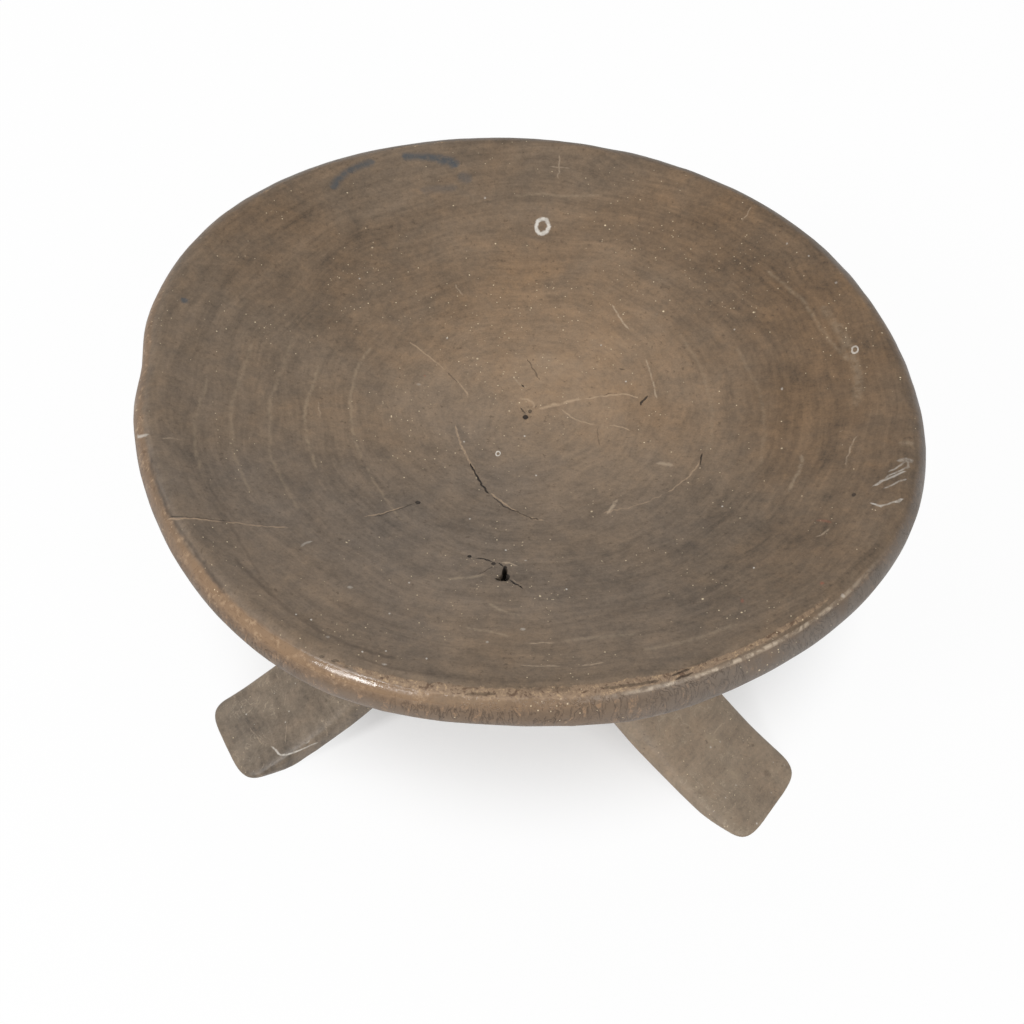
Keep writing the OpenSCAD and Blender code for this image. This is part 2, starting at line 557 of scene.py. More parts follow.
SEAT_LINES = (
    # The closed crack from the pith to the right, and its lower companion.
    *alike(Line, Mark.HEALED, (
        (0.85, ((5.5, 8.7), (9.4, 10.5), (12.5, 12.2), (16.9, 13.9), (21.3, 16.2), (26.7, 17.7))),
        (0.5, ((25.7, 17.5), (32.1, 19.1), (39.3, 21.4), (43.8, 21.9), (47.5, 21.8), (52.3, 18.9)), 0.9),
        (0.45, ((16.2, 11.3), (18.3, 9), (23.3, 4.9), (26.1, 3.2), (28.9, 2.5), (34.5, 1.7)), 0.9),
        (0.4, ((38, 1.8), (41.7, 1.6), (44.5, 1.3), (47.3, 0.2), (50.6, -1.3)), 0.9),
    )),
    *alike(Line, Mark.CRACK, (
        (0.3, ((34.5, 20.1), (37, 22.4), (40.5, 22.6)), 0.4),
        (0.3, ((33.7, 1.2), (35.1, -5.6), (36.5, -12.4)), 0.3),
        (0.3, ((-2.6, 41.2), (0.2, 36.8), (3.7, 30.2), (6.2, 26.8)), 0.42),
        (0.55, ((-3.7, 24.6), (-3.1, 23.9), (-1, 21.6), (-0.4, 20.9))),
    )),
    Line(Mark.SCRATCH, 0.45, ((-7.3, 28.1), (-5.2, 25.9), (-3.4, 22.3), (1.4, 21.6)), 0.6),
    Line(Mark.HEALED, 0.6, ((-3.9, 14.6), (-0.7, 14.4), (3, 14.2), (5.2, 11.3), (3.2, 8.4)), 0.9),
    *alike(Line, Mark.CRACK, (
        (0.4, ((-2.6, 10), (-1.6, 7.6), (0.6, 6.2), (1.4, 4.6)), 0.7),
        (0.35, ((0.9, 8.6), (2.6, 8.2), (3.6, 6.4), (3, 5.2)), 0.7),
        (0.5, ((55.6, 22.8), (55.3, 22.1), (54.2, 18.3), (52.6, 14.8), (52.3, 14))),
        (0.4, ((40, 38.5), (42.6, 37.7), (45.1, 36.7)), 0.7),
        (0.35, ((34.7, 26), (37.6, 24)), 0.6),
    )),
    *alike(Line, Mark.SCRATCH, (
        (0.45, ((34.2, 78.4), (37.5, 71.9), (40.7, 67.2), (44.7, 61.2))),
        (0.4, ((52.7, 46), (55.6, 37.2), (58.1, 28.5), (60.1, 18.4)), 0.85),
        (0.35, ((29.4, 41.6), (32.3, 37.4)), 0.8),
        (0.85, ((47.3, -44.3), (44.8, -50.9), (42.4, -56.8)), 0.9),
        (1.2, ((61, -21.7), (65.7, -21.6), (71.3, -22.8)), 0.7),
    )),
    # The long line from the upper left down to the left of the pith.
    Line(Mark.HEALED, 0.4, ((-58.9, 41.2), (-52, 37.1), (-45.8, 32.8), (-38.4, 26.5)), 0.8),
    Line(Mark.HEALED, 0.5, ((-34.2, 22.4), (-30.9, 19.1), (-27.1, 14.6), (-26, 10.2)), 0.8),
    Line(Mark.CRACK, 0.3, ((-38.4, 26.5), (-33.6, 21.8), (-30.9, 19.1)), 0.4),
    # The shake that curves under the pith: pale at its ends, open and dark in the middle.
    Line(Mark.HEALED, 0.5, ((-30.3, -6), (-28.3, -12.2), (-26.2, -17.6), (-20.8, -28.3),
                            (-16.6, -37.9)), 0.8),
    Line(Mark.HEALED, 0.45, ((-9.6, -46.6), (-4.6, -51.6), (2.4, -57.2), (9, -60.7), (17.6, -62.6)), 0.85),
    Line(Mark.CRACK, 0.42, ((-20.6, -28.7), (-17.8, -34.3), (-14.9, -39.7), (-12.1, -44.5), (-8.6, -49.2))),
    Line(Mark.CRACK, 0.34, ((-8.6, -49.2), (-4, -53.3), (1.7, -57), (7.9, -60), (15.5, -62)), 0.75),
    Line(Mark.HEALED, 0.4, ((82.6, -16.4), (80.8, -23.4), (77.5, -29.2), (72.6, -35.6), (67.2, -40.8)), 0.7),
    Line(Mark.HEALED, 0.4, ((67.2, -40.8), (60.2, -46.2), (52.6, -50.4), (39.9, -55.2)), 0.5),
    Line(Mark.CRACK, 0.36, ((82.3, -13.5), (81.9, -18.9), (81.5, -23.8)), 0.9),
    Line(Mark.CRACK, 0.3, ((-39.8, -60.1), (-46.2, -65.4), (-49.6, -68.3), (-53.1, -71.1),
                           (-57.5, -73.6)), 0.4),
    Line(Mark.HEALED, 0.35, ((-44, -62.8), (-53.1, -70.3), (-61.8, -75.4)), 0.7),
    Line(Mark.CRACK, 0.55, ((22.7, -66.6), (22.2, -69)), 0.9),
    Line(Mark.CRACK, 0.4, ((21.3, -70.3), (20.2, -73.2)), 0.8),
    # Cracks and swirls about the knot.
    *alike(Line, Mark.CRACK, (
        (0.3, ((-15.6, -88.5), (-13.5, -89.7), (-12.6, -90)), 0.7),
        (0.42, ((-11.2, -90.6), (-8.7, -90.2), (-6.8, -90.2), (-3.1, -91.7), (-1.7, -92.7))),
        (0.42, ((-1.7, -92.7), (-0.3, -92), (1.7, -93.2), (3.4, -94.8))),
        (0.25, ((-2.1, -93.5), (-4.4, -97.9), (-7.1, -100.3), (-9.2, -101.7)), 0.45),
        (0.4, ((4.6, -101.2), (6.3, -102.8), (7.9, -104.4), (10, -105.9), (12.9, -108.1))),
    )),
    Line(Mark.SCRATCH, 0.5, ((-0.5, -91), (2.1, -91.3), (5.1, -91.9), (9.6, -92.9)), 0.8),
    Line(Mark.SCRATCH, 0.3, ((5.2, -100.4), (8.3, -103.2), (12.6, -106.4)), 0.6),
    *alike(Line, Mark.BLOOM, (
        (0.9, ((-21.2, -107), (-14.9, -104.7), (-9.1, -102.9), (-3.4, -99.5)), 1.1),
        (0.9, ((-2.1, -118), (3.9, -122.3), (7, -124.1), (13.9, -125.4)), 1.1),
        (0.7, ((-9.8, -136.1), (-2.7, -136.5), (4.8, -137.6), (11.6, -139.3))),
    )),
    *alike(Line, Mark.SCRATCH, (
        (0.4, ((16.2, -142.8), (22.6, -141.4), (29.2, -141.1)), 0.8),
        (0.4, ((14.9, -157), (22.1, -156.8), (27.1, -155.9), (33.1, -155.6)), 0.7),
        (0.4, ((38.5, -155.1), (44, -153.6), (49.9, -151.2)), 0.7),
    )),
    # Chalk and rubbed places at the right edge.
    *alike(Line, Mark.CHALK, (
        (0.55, ((153.3, -50.3), (155, -53.2), (158.7, -54.3), (161.7, -53.3), (164.8, -51.9),
                (169.2, -48.8))),
        (0.6, ((154.1, -42.1), (161.6, -37.5), (170.5, -32.7)), 0.7),
        (0.5, ((157, -40), (163.7, -34.6), (172.3, -29.8)), 0.6),
        (0.5, ((158.6, -44), (166.1, -39.8), (170.8, -37.2)), 0.6),
        (0.5, ((160.8, -34.2), (166.3, -30.7), (171, -25.5)), 0.5),
        (1.2, ((164.1, -26.8), (169.7, -27.2), (173.9, -25.7)), 0.42),
        (0.6, ((170.2, -24.7), (169.8, -33.3)), 0.5),
    )),
    Line(Mark.BLOOM, 1.4, ((165.1, -16.2), (169.9, -16.3), (174.5, -15.2)), 1),
    Line(Mark.SCRATCH, 0.4, ((149.9, -7.8), (147.2, -12.3), (146, -17.1), (144.8, -22.6),
                             (144.2, -28.1)), 0.7),
    Line(Mark.SCRATCH, 0.4, ((140.6, -6.6), (143.9, -3.6)), 0.7),
    Line(Mark.BLOOM, 0.9, ((125.5, -16.4), (125.7, -21.8), (125.3, -26.2), (121.9, -35.3), (120.1, -43))),
    Line(Mark.RUST, 0.8, ((130.4, -60.5), (134.2, -60), (139.2, -63.7)), 0.3),
    Line(Mark.SCRATCH, 0.5, ((130.5, -71.3), (134.2, -70.5), (137.6, -64.7)), 0.7),
    # Blue-black stains and faint scratches at the back.
    *alike(Line, Mark.INK, (
        (2.1, ((-107.5, 121.8), (-105.3, 130), (-102.1, 134.5), (-98.3, 138.5), (-93.4, 142.2),
               (-88, 145.5)), 0.9),
        (2.3, ((-78.1, 150), (-71.8, 151.7), (-66.9, 152.4), (-61, 153), (-55.4, 152.9)), 1),
        (2.8, ((-62, 152.9), (-55.4, 152.6), (-50.7, 151.4), (-47.5, 148.8)), 1.1),
        (3.2, ((-49.5, 145.8), (-44.3, 143.8), (-39.6, 141.8)), 0.6),
        (2.4, ((-46, 138.5), (-55.5, 135.4), (-66.3, 132.2)), 0.4),
    )),
    Line(Mark.CRACK, 0.45, ((-0.1, 169.6), (0.2, 165.9)), 0.6),
    Line(Mark.SCRATCH, 0.4, ((0.4, 165.6), (1.2, 157), (1.5, 148.8)), 0.65),
    Line(Mark.SCRATCH, 0.35, ((-4.8, 156.4), (8.2, 157)), 0.5),
    Line(Mark.RING, 0.8, ((-20.6, 137), (-5.6, 140.7), (6.9, 140.3), (25.8, 142.5)), 0.9),
    Line(Mark.SCRATCH, 0.4, ((-41.8, 81.6), (-37.1, 74.8), (-35.9, 73)), 0.8),
    Line(Mark.SCRATCH, 0.35, ((97.8, 137), (93.1, 125.6)), 0.6),
    # The crack that comes in from the left rim, and the line inside the rim below it.
    Line(Mark.HEALED, 0.5, ((-139.6, -101.3), (-132.5, -101.9), (-126.2, -100), (-120.7, -98.9),
                            (-115.3, -97.2)), 0.85),
    Line(Mark.HEALED, 0.4, ((-116.3, -97.5), (-109.8, -95.8), (-103.3, -95), (-88.1, -90.4)), 0.6),
    Line(Mark.CRACK, 0.28, ((-139, -100.5), (-132.5, -100.9), (-126.2, -99), (-120.7, -97.9),
                            (-112, -95.6)), 0.5),
    Line(Mark.SHADE, 0.8, ((-152.6, -67), (-150.4, -75.6), (-144.4, -86.7), (-138.4, -98.2), (-132.5, -105.7),
                           (-126.5, -113.4), (-120.7, -120.9), (-114.1, -129), (-105.4, -139.4)), 1.2),
    Line(Mark.CHALK, 0.8, ((-165.2, -51.4), (-159.3, -56.4), (-155, -55.4)), 0.8),
    Line(Mark.SCRATCH, 0.4, ((-152, -57), (-142.2, -53.7)), 0.6),
    Line(Mark.CHALK, 0.6, ((-82.9, -102.5), (-81, -97.4), (-77.3, -95.4)), 0.45),
    Line(Mark.SCRATCH, 0.35, ((-92.3, -6.5), (-89.1, -19)), 0.6),
    # Rings that stand out.
    *alike(Line, Mark.RING, (
        (0.8, ((-74.1, 34.2), (-78.4, 20), (-78.9, 0.2), (-74.4, -21.5), (-67, -39.2)), 1.2),
        (0.7, ((-65, -42.2), (-56.4, -56.1), (-42.4, -75.7)), 0.9),
        (0.8, ((-95.5, 16), (-97, -15.5), (-93.2, -31.4), (-88.5, -42.5), (-84.6, -50.9)), 1.3),
        (0.9, ((-110, 30), (-112.4, -14.4), (-105.9, -48.1), (-97.9, -62.5), (-87.1, -79.4)), 0.8),
        (0.9, ((-127, 20), (-127.8, -25.1), (-120, -55.1), (-114.6, -65), (-107.1, -77.4)), 0.8),
    )),
    Line(Mark.SHADE, 0.7, ((-125.6, -78), (-115.5, -92.3), (-105.4, -108.4), (-95.7, -123.3),
                           (-86, -136.8)), 0.6),
    *alike(Line, Mark.RING, (
        (0.9, ((-140.6, -10), (-140.6, -39.8), (-135.7, -57.9), (-131, -70.8)), 0.8),
        (0.9, ((67, 62.3), (78.4, 40.4), (85, 18.3), (86.2, -6.9), (83.2, -15.3)), 0.6),
        (0.9, ((93.9, 52.2), (106.3, 23.6), (109.3, -1.6), (107.8, -26.8)), 0.6),
        (1, ((105.6, 98.2), (115.4, 87.1), (124.4, 77.1), (133.1, 57.8), (144.5, 37.9)), 0.9),
    )),
    # Streaks along the front of the dish and just inside the rim.
    *alike(Line, Mark.SHADE, (
        (1.1, ((-107.6, -117.3), (-92.3, -131.4), (-75.4, -145.4), (-64, -152.4), (-53.3, -156.6),
               (-42.8, -159.8), (-31.3, -161.7)), 0.9),
        (0.8, ((-50.2, -162.9), (-38.5, -166.4), (-26.4, -168.3), (-14.5, -168.6)), 0.8),
        (2.4, ((-64.7, -131.5), (-47.2, -138.5), (-30.3, -142.4)), 0.4),
        (2.6, ((-22, -114.3), (-5.4, -113.8), (10.9, -110.7), (27.2, -106.7)), 0.35),
    )),
    Line(Mark.BLOOM, 1.3, ((30, -139.3), (45.9, -135.8), (61.7, -131.5)), 0.7),
    Line(Mark.SHADE, 2.4, ((44.9, -121.5), (64.9, -115), (84.9, -107.4)), 0.4),
    Line(Mark.BLOOM, 1.3, ((62.3, -143.2), (81.8, -136), (101.4, -124.4)), 0.7),
    # Dark streaks and cells in the crumbling band.
    *alike(Line, Mark.CRACK, (
        (0.55, ((-4.9, -176.2), (2, -175.1), (9.7, -173.9)), 0.5),
        (0.6, ((48.1, -166.8), (59.2, -163.5), (65.3, -161.5), (72.2, -159)), 0.55),
        (0.35, ((74.1, -157.8), (77.1, -155.2), (80.9, -153.6), (84, -151.3)), 0.7),
        (0.35, ((76.1, -158.1), (80.3, -155.9), (85.3, -152.9)), 0.7),
    )),
    Line(Mark.SHADE, 0.9, ((17.2, -171.1), (28.8, -169.8), (38.4, -168.2)), 0.8),
    Line(Mark.BLOOM, 2, ((139.5, 62), (146.5, 44), (149.5, 26), (149, 8)), 0.7),
    Line(Mark.BLOOM, 1.8, ((132.5, 74), (142, 53), (145, 36)), 0.6),
)

SEAT_SPOTS = (
    Spot(Mark.CRACK, (1.2, 3.4), 1.1, 1.3),
    Spot(Mark.CRACK, (2.9, 7.3), 0.7, 1.1, 0.7),
    Spot(Mark.SHADE, (1, 6), 4.2, 4.4, 0.5),
    Spot(Mark.BLOOM, (2.2, 7), 4.6, 6, 0.8),
    *alike(Spot, Mark.CRACK, (
        ((-39.2, -59.7), 1, 1, 0.9),
        ((-12.8, -90), 0.8, 0.8),
        ((-2.2, -92.8), 0.8, 0.9, 0.9),
        ((2.9, -96.8), 0.8, 3),
        ((3.5, -100.3), 1.7, 1.9),
        ((1.5, -102.2), 1.7, 0.7),
    )),
    *alike(Spot, Mark.SHADE, (
        ((11.5, -100.2), 9, 7, 0.45),
        ((10.5, -134.5), 8, 4, 0.4),
        ((26.1, 114.9), 3.4, 2.6, 1.2),
        ((20.4, 112.4), 3.4, 2.4, 0.9),
        ((104.8, -87.7), 6, 6.5, 0.9),
    )),
    Spot(Mark.CRACK, (147.5, -45.6), 0.8, 0.9, 0.7),
    Spot(Mark.SHADE, (147.1, -45.7), 3.4, 4, 0.9),
    Spot(Mark.SHADE, (2, -57), 17, 8, 0.35),
    Spot(Mark.INK, (-160, 32.1), 5.5, 5, 1),
    Spot(Mark.SPLASH, (-3.3, 121.5), 3.1, 4.4),
    Spot(Mark.SHADE, (-3.3, 121.5), 2.8, 4, 0.6),
    Spot(Mark.SPLASH, (147.9, 44.1), 1.3, 2, 0.8),
    Spot(Mark.CHALK, (-33.1, 134.1), 1, 1.3, 0.9),
    Spot(Mark.SPLASH, (-8.5, -21.7), 0.95, 1.4, 0.9),
    *alike(Spot, Mark.CHALK, (
        ((116.1, 24), 1, 1.4, 0.8),
        ((115.3, 112.1), 0.9, 1.3, 0.8),
        ((138.7, 85.9), 1.1, 1.4, 0.7),
        ((125.8, 103.8), 0.9, 1.2, 0.7),
        ((-49.4, 15.2), 2.2, 1.6, 0.3),
        ((11, -89), 1, 0.8, 0.7),
    )),
    *alike(Spot, Mark.RUST, (
        ((-47.5, 21.4), 1.6, 1.4, 0.7),
        ((133.9, -100.4), 2.4, 3.4, 0.7),
        ((102.2, -110.4), 2.2, 4.2, 0.45),
    )),
    Spot(Mark.CHALK, (142.5, -106), 1.8, 1.6, 0.4),
    *alike(Spot, Mark.SHADE, (
        ((31, -48.6), 24, 6, 0.4),
        ((-21.8, -72.5), 14, 9, 0.35),
        ((4.8, 79.6), 15, 4, 0.4),
        ((69.8, 66.5), 14, 11, 0.3),
        ((-19.5, 50), 14, 5, 0.35),
        ((26.9, 59.1), 3.5, 3, 0.6),
        ((-48.8, -48), 12, 8, 0.3),
        ((103, 53.5), 9, 7, 0.4),
        ((113.8, 92.1), 9, 8, 0.35),
        ((123.2, 79.6), 8, 7, 0.35),
        ((141.6, 16.2), 7, 10, 0.3),
        ((108.9, 38.8), 6, 6, 0.4),
        ((90.2, 79.9), 10, 6, 0.3),
        ((66.1, 160.6), 14, 5, 0.3),
        ((-37.3, 107.9), 12, 6, 0.3),
        ((-108.9, 112.5), 12, 7, 0.4),
        ((-142.2, 82.5), 10, 6, 0.3),
        ((79.5, -74.3), 16, 6, 0.3),
        ((42.2, -85.7), 12, 6, 0.3),
        ((125.2, -72.7), 9, 7, 0.3),
        ((-82.7, -30.6), 8, 10, 0.25),
    )),
    *alike(Spot, Mark.CRACK, (
        ((-61.7, -165.2), 1, 0.4, 0.45),
        ((-56.3, -166.7), 1.5, 0.4, 0.45),
        ((-51.6, -168.9), 0.8, 0.4, 0.4),
    )),
    *(Spot(Mark.CHALK, place, 0.8, 1.0) for place in (
        (31.7, 52), (45.1, 30.1), (2.1, -8.7), (9.9, -33.4), (-15.6, -65.8), (1.9, -83.5), (-40, -133.3),
        (-40.6, 46.7), (29.8, -105.5), (106.4, -89.2), (-86.1, 73.6), (-24.4, -16.7), (93.2, 62.2),
        (92.3, -49.1), (-69.7, -145.7), (-46.5, -160.1), (-37.6, -157.6), (-21.2, -158.7),
        (-35.2, -111.9), (-76, -144.1),
    )),
    *alike(Spot, Mark.CHALK, (
        ((-61.3, -154.5), 1.6, 1.2, 0.7),
        ((-37, -165.7), 1.9, 1.3, 0.8),
        ((-58.4, -120.8), 2.2, 1.8, 0.5),
        ((14.5, -133.6), 2, 1.7, 0.5),
        ((1.1, -144), 1.3, 1.2, 0.6),
    )),
)

# Lighter, warmer and more specked places on the seat. The lighter middle of the dish and the darker places
# towards its rim are partly the wood's own tone and partly painted sheen and shade, as the lamps leave on the
# dish.
SEAT_PATCHES = (
    Patch((12, 24), 68, 60, tone=0.61, warmth=0.1, specks=0.35),
    Patch((0, 95), 70, 36, tone=0.12),
    Patch((10, 80), 190, 85, warmth=0.32),
    Patch((-10, -80), 150, 70, warmth=-0.45),
    Patch((-105, 85), 70, 60, tone=-0.15, warmth=0.1),
    Patch((95, 110), 60, 50, tone=-0.24, warmth=0.4, specks=0.2),
    Patch((135, 15), 45, 90, tone=-0.1, warmth=0.8),
    Patch((105, -80), 50, 50, tone=-0.12, warmth=0.1),
    Patch((-90, -85), 65, 50, tone=0.01, warmth=-0.4),
    Patch((0, -125), 90, 32, tone=0.12),
    Patch((-20, -137), 14, 14, specks=0.5),
    Patch((24, -116), 14, 10, specks=0.5),
    Patch((52, 90), 40, 30, specks=0.3),
    Patch((-15, -20), 16, 28, tone=-0.05, warmth=-0.2, specks=0.3),
)

LEG_LINES = (
    Line(Mark.CHALK, 0.5, ((-113.5, -80.2, 9.3), (-109.5, -83.4, 10), (-107, -86.3, 9.4),
                           (-100.2, -85.1, 11.4), (-92.7, -82.1, 14.3), (-87.7, -79.5, 15.3)), 1.1),
    Line(Mark.CHALK, 0.4, ((-96.2, -81.9, 15), (-92.7, -81.4, 15.8), (-92.8, -79, 18.3)), 0.5),
    *alike(Line, Mark.SCRATCH, (
        (0.45, ((-116.6, -92.6, 3.9), (-114.1, -89.4, 6), (-114.9, -88, 6.3)), 0.8),
        (0.4, ((-126.4, -68.4, 7.4), (-124.5, -71.2, 7.4), (-116.6, -80.1, 8.4)), 0.6),
        (0.35, ((-109, -62.5, 16.7), (-109.4, -53, 19.8)), 0.5),
        (0.35, ((-105.3, -81.9, 12.3), (-106.5, -69.6, 15.9)), 0.6),
        (0.35, ((-84.7, -78.7, 17.3), (-85.8, -72, 26.5)), 0.6),
        (0.45, ((-117.7, -41.4, 18), (-113.7, -48.8, 18.7)), 0.6),
        (0.4, ((108.4, -45.9, 18.9), (104.1, -51.6, 19.7), (102.1, -56.6, 19.3)), 0.8),
        (0.4, ((84.6, -52, 31.2), (86.9, -57.4, 27.6)), 0.6),
        (0.35, ((112.4, -91, 6.5), (116.6, -83.7, 6.8)), 0.7),
        (0.35, ((105.5, -79.6, 12), (110.3, -75.4, 10.9)), 0.6),
    )),
)

LEG_SPOTS = (
    Spot(Mark.SHADE, (130.4, -65.8, 5.4), 6.5, 6.5, 0.9),
    *alike(Spot, Mark.CHALK, (
        ((101.3, -62.2, 18.1), 1.2, 1.2),
        ((105.8, -57.7, 17.1), 1, 1),
        ((117.5, -52.7, 13), 0.8, 0.8, 0.9),
        ((121, -60.8, 9.9), 0.7, 0.7, 0.9),
        ((138.7, -57.9, 3.2), 0.8, 0.8, 0.9),
        ((132.6, -74.8, 2.9), 0.8, 0.8, 0.9),
        ((115.1, -76.6, 8.9), 0.9, 0.9, 0.9),
        ((93.4, -80.6, 16.4), 0.7, 0.7, 0.9),
        ((102.3, -71.6, 15.3), 0.7, 0.7, 0.9),
        ((84.8, -73.5, 22.9), 0.7, 0.7, 0.9),
        ((-106, -64.9, 17.6), 0.9, 0.9, 0.9),
        ((-115.3, -73.7, 10.6), 0.9, 0.9, 0.9),
        ((-128.2, -65.5, 7.4), 0.7, 0.7, 0.8),
        ((-119.8, -48.2, 15.5), 0.7, 0.7, 0.8),
        ((-138.2, -57, 5.2), 0.7, 0.7, 0.8),
    )),
    *(Spot(Mark.CHALK, place, 0.85, 0.85) for place in (
        (-132.2, -58.0, 7.5), (-128.8, -62.3, 7.9), (-123.5, -68.3, 8.6), (-125.9, -86.0, 3.3),
        (-117.8, -85.9, 6.2), (-119.7, -92.3, 3.2), (-107.1, -70.1, 15.4), (-115.7, -53.8, 16.1),
        (-105.1, -51.4, 22.7), (-115.9, -43.9, 18.6), (-130.5, -47.7, 9.8), (87.9, -74.7, 21.0),
        (98.0, -78.4, 15.3), (105.1, -84.5, 10.8), (110.3, -84.5, 8.9), (132.9, -58.6, 5.6),
        (126.2, -92.5, 1.4), (104.8, -92.4, 7.9),
    )),
    Spot(Mark.BLOOM, (102.6, -58.2, 18.6), 15, 13, 1.5),
    Spot(Mark.BLOOM, (113.5, -71.4, 10.6), 14, 12, 1.4),
    *alike(Spot, Mark.SHADE, (
        ((96, -86, 12), 12, 9, 0.35),
        ((82, -76, 22), 8, 9, 0.35),
        ((-115, -44, 17), 9, 7, 0.3),
        ((-116.4, -91.1, 4.6), 8, 6, 0.4),
    )),
)

# Names of the numbers on a mesh's points: a mark's kind, line or spot, and its layer.
LayerName = tuple[Mark, str, int]


def layer_label(name: LayerName) -> str:
    """The attribute name of a layer of marks."""
    mark, form, index = name
    return f"{mark.name.lower()}_{form}_{index}"


@dataclass
class Layer:
    """One layer of marks of one kind, with a row of numbers for each point of the mesh."""

    places: np.ndarray
    strength: np.ndarray
    taken: np.ndarray


@dataclass
class Scribe:
    """Lays lines and spots on a mesh, as numbers on its points that the wood's nodes read.

    At a point near a line they are the distance across it, with a sign, the distance from its nearer end,
    and its half width. Between points they run evenly, so a line may be much thinner than a face is wide.
    Marks that come too close for that go on separate layers. Sizes are in millimetres.
    """

    obj: bpy.types.Object
    flat: bool
    open_points: np.ndarray
    seed: int = 5
    far: float = 60.0
    beyond: float = -40.0
    taper: float = 4.0
    step: float = 1.5
    unsteady: float = 0.22
    margin: float = 14.0
    longest_reach: float = 6.0
    line_spread: float = 1.7
    spot_spread: float = 0.2
    layers: dict[LayerName, Layer] = field(default_factory=dict)

    def __post_init__(self) -> None:
        """Read the mesh, and how far each point is from the furthest of its neighbours."""
        self.points = read_points(self.obj)
        self.normals = read_normals(self.obj)
        ends = np.empty(len(self.obj.data.edges) * 2, dtype=int)
        self.obj.data.edges.foreach_get("vertices", ends)
        ends = ends.reshape(-1, 2)
        length = np.linalg.norm(self.points[ends[:, 0]] - self.points[ends[:, 1]], axis=1)
        self.reach = np.zeros(len(self.points))
        for side in (0, 1):
            np.maximum.at(self.reach, ends[:, side], length * 1.5)
        self.reach = np.minimum(self.reach, self.longest_reach)
        if self.flat:
            self.points[:, 2] = 0
            self.normals[:] = (0, 0, 1)
        self.rng = np.random.default_rng(self.seed)

    def draw(self, line: Line) -> np.ndarray:
        """The line's own course: smooth, in short steps, with a little unsteadiness.

        Args:
            line: The line.

        Returns:
            Points along it, one row each.
        """
        given = np.array([(*point, 0)[:3] for point in line.points], dtype=float)
        gone = np.concatenate(([0], np.cumsum(np.linalg.norm(np.diff(given, axis=0), axis=1))))
        count = max(3, int(gone[-1] / self.step) + 1)
        steps = np.linspace(0, gone[-1], count)
        path = np.stack([np.interp(steps, gone, given[:, k]) for k in range(3)], axis=1)
        for _ in range(2):
            path[1:-1] = (path[:-2] + 2 * path[1:-1] + path[2:]) / 4
        if self.flat and count > 4:
            wander = self.rng.normal(size=(count, 2)) * self.unsteady
            wander[[0, -1]] = 0
            path[:, :2] += wander
        return path

    def near_box(self, low: np.ndarray, high: np.ndarray, margin: float) -> np.ndarray:
        """The open points in a box grown by a margin."""
        inside = (self.points > low - margin) & (self.points < high + margin)
        return np.flatnonzero(self.open_points & inside.all(axis=1))

    def measure_line(self, line: Line) -> tuple[np.ndarray, np.ndarray, np.ndarray]:
        """Measure the points round a line.

        Args:
            line: The line.

        Returns:
            The points' numbers, their distances from the line, and a row for each of across, inside and
            half width.
        """
        path = self.draw(line)
        chosen = self.near_box(path.min(axis=0), path.max(axis=0), self.margin + line.half_width * 2)
        steps = np.diff(path, axis=0)
        length = np.linalg.norm(steps, axis=1)
        course = steps / length[:, None]
        away = self.points[chosen][:, None, :] - path[:-1][None]
        along = np.einsum("psk,sk->ps", away, course)
        held = np.clip(along, 0, length)
        distance = np.linalg.norm(away - held[..., None] * course, axis=2)
        best = distance.argmin(axis=1)
        rows = np.arange(len(chosen))
        off = away[rows, best] - along[rows, best, None] * course[best]
        side = np.cross(course[best], self.normals[chosen])
        across = np.linalg.norm(off, axis=1) * np.where((off * side).sum(axis=1) < 0, -1, 1)
        before = np.concatenate(([0], np.cumsum(length)))[best] + along[rows, best]
        inside = np.minimum(np.minimum(before, length.sum() - before), self.taper)
        values = np.stack((across, inside, np.full(len(chosen), line.half_width)), axis=1)
        return chosen, distance[rows, best], values

    def measure_spot(self, spot: Spot) -> tuple[np.ndarray, np.ndarray, np.ndarray]:
        """Measure the points round a spot.

        Args:
            spot: The spot.

        Returns:
            The points' numbers, their distances from its edge, and a row for each, in half widths.
        """
        centre = np.array((*spot.centre, 0)[:3], dtype=float)
        chosen = self.near_box(centre, centre, self.margin + 2 * max(spot.wide, spot.deep))
        away = self.points[chosen] - centre
        values = away / np.array((spot.wide, spot.deep, spot.wide))
        distance = np.linalg.norm(away, axis=1) - max(spot.wide, spot.deep)
        return chosen, distance, values

    def lay(self, shape: Line | Spot) -> None:
        """Put one line or spot on the first layer of its kind that has room.

        Args:
            shape: The line or the spot.
        """
        is_line = isinstance(shape, Line)
        chosen, distance, values = self.measure_line(shape) if is_line else self.measure_spot(shape)
        half = shape.half_width if is_line else max(shape.wide, shape.deep)
        spread = half * (self.line_spread if is_line else self.spot_spread)
        core = distance < self.reach[chosen] + spread
        rim = distance < self.reach[chosen] * 2 + spread
        tested = core if is_line else rim
        index = 0
        while True:
            name = (shape.mark, "line" if is_line else "spot", index)
            if name not in self.layers:
                places = np.full((len(self.points), 3), self.far)
                if is_line:
                    places[:, 1], places[:, 2] = self.beyond, 1
                self.layers[name] = Layer(places, np.zeros(len(places)), np.zeros(len(places), dtype=bool))
            layer = self.layers[name]
            if not layer.taken[chosen[tested]].any():
                break
            index += 1
        fresh = rim & ~(layer.strength[chosen] > 0)
        if is_line:
            values[~core, 1] = self.beyond
        layer.places[chosen[fresh]] = values[fresh]
        layer.strength[chosen[core]] = shape.strength
        layer.taken[chosen[rim]] = True

    def store(self) -> None:
        """Write the layers to the mesh."""
        for name, layer in self.layers.items():
            store_numbers(self.obj, layer_label(name), layer.places)
            store_numbers(self.obj, f"{layer_label(name)}_strength", layer.strength)


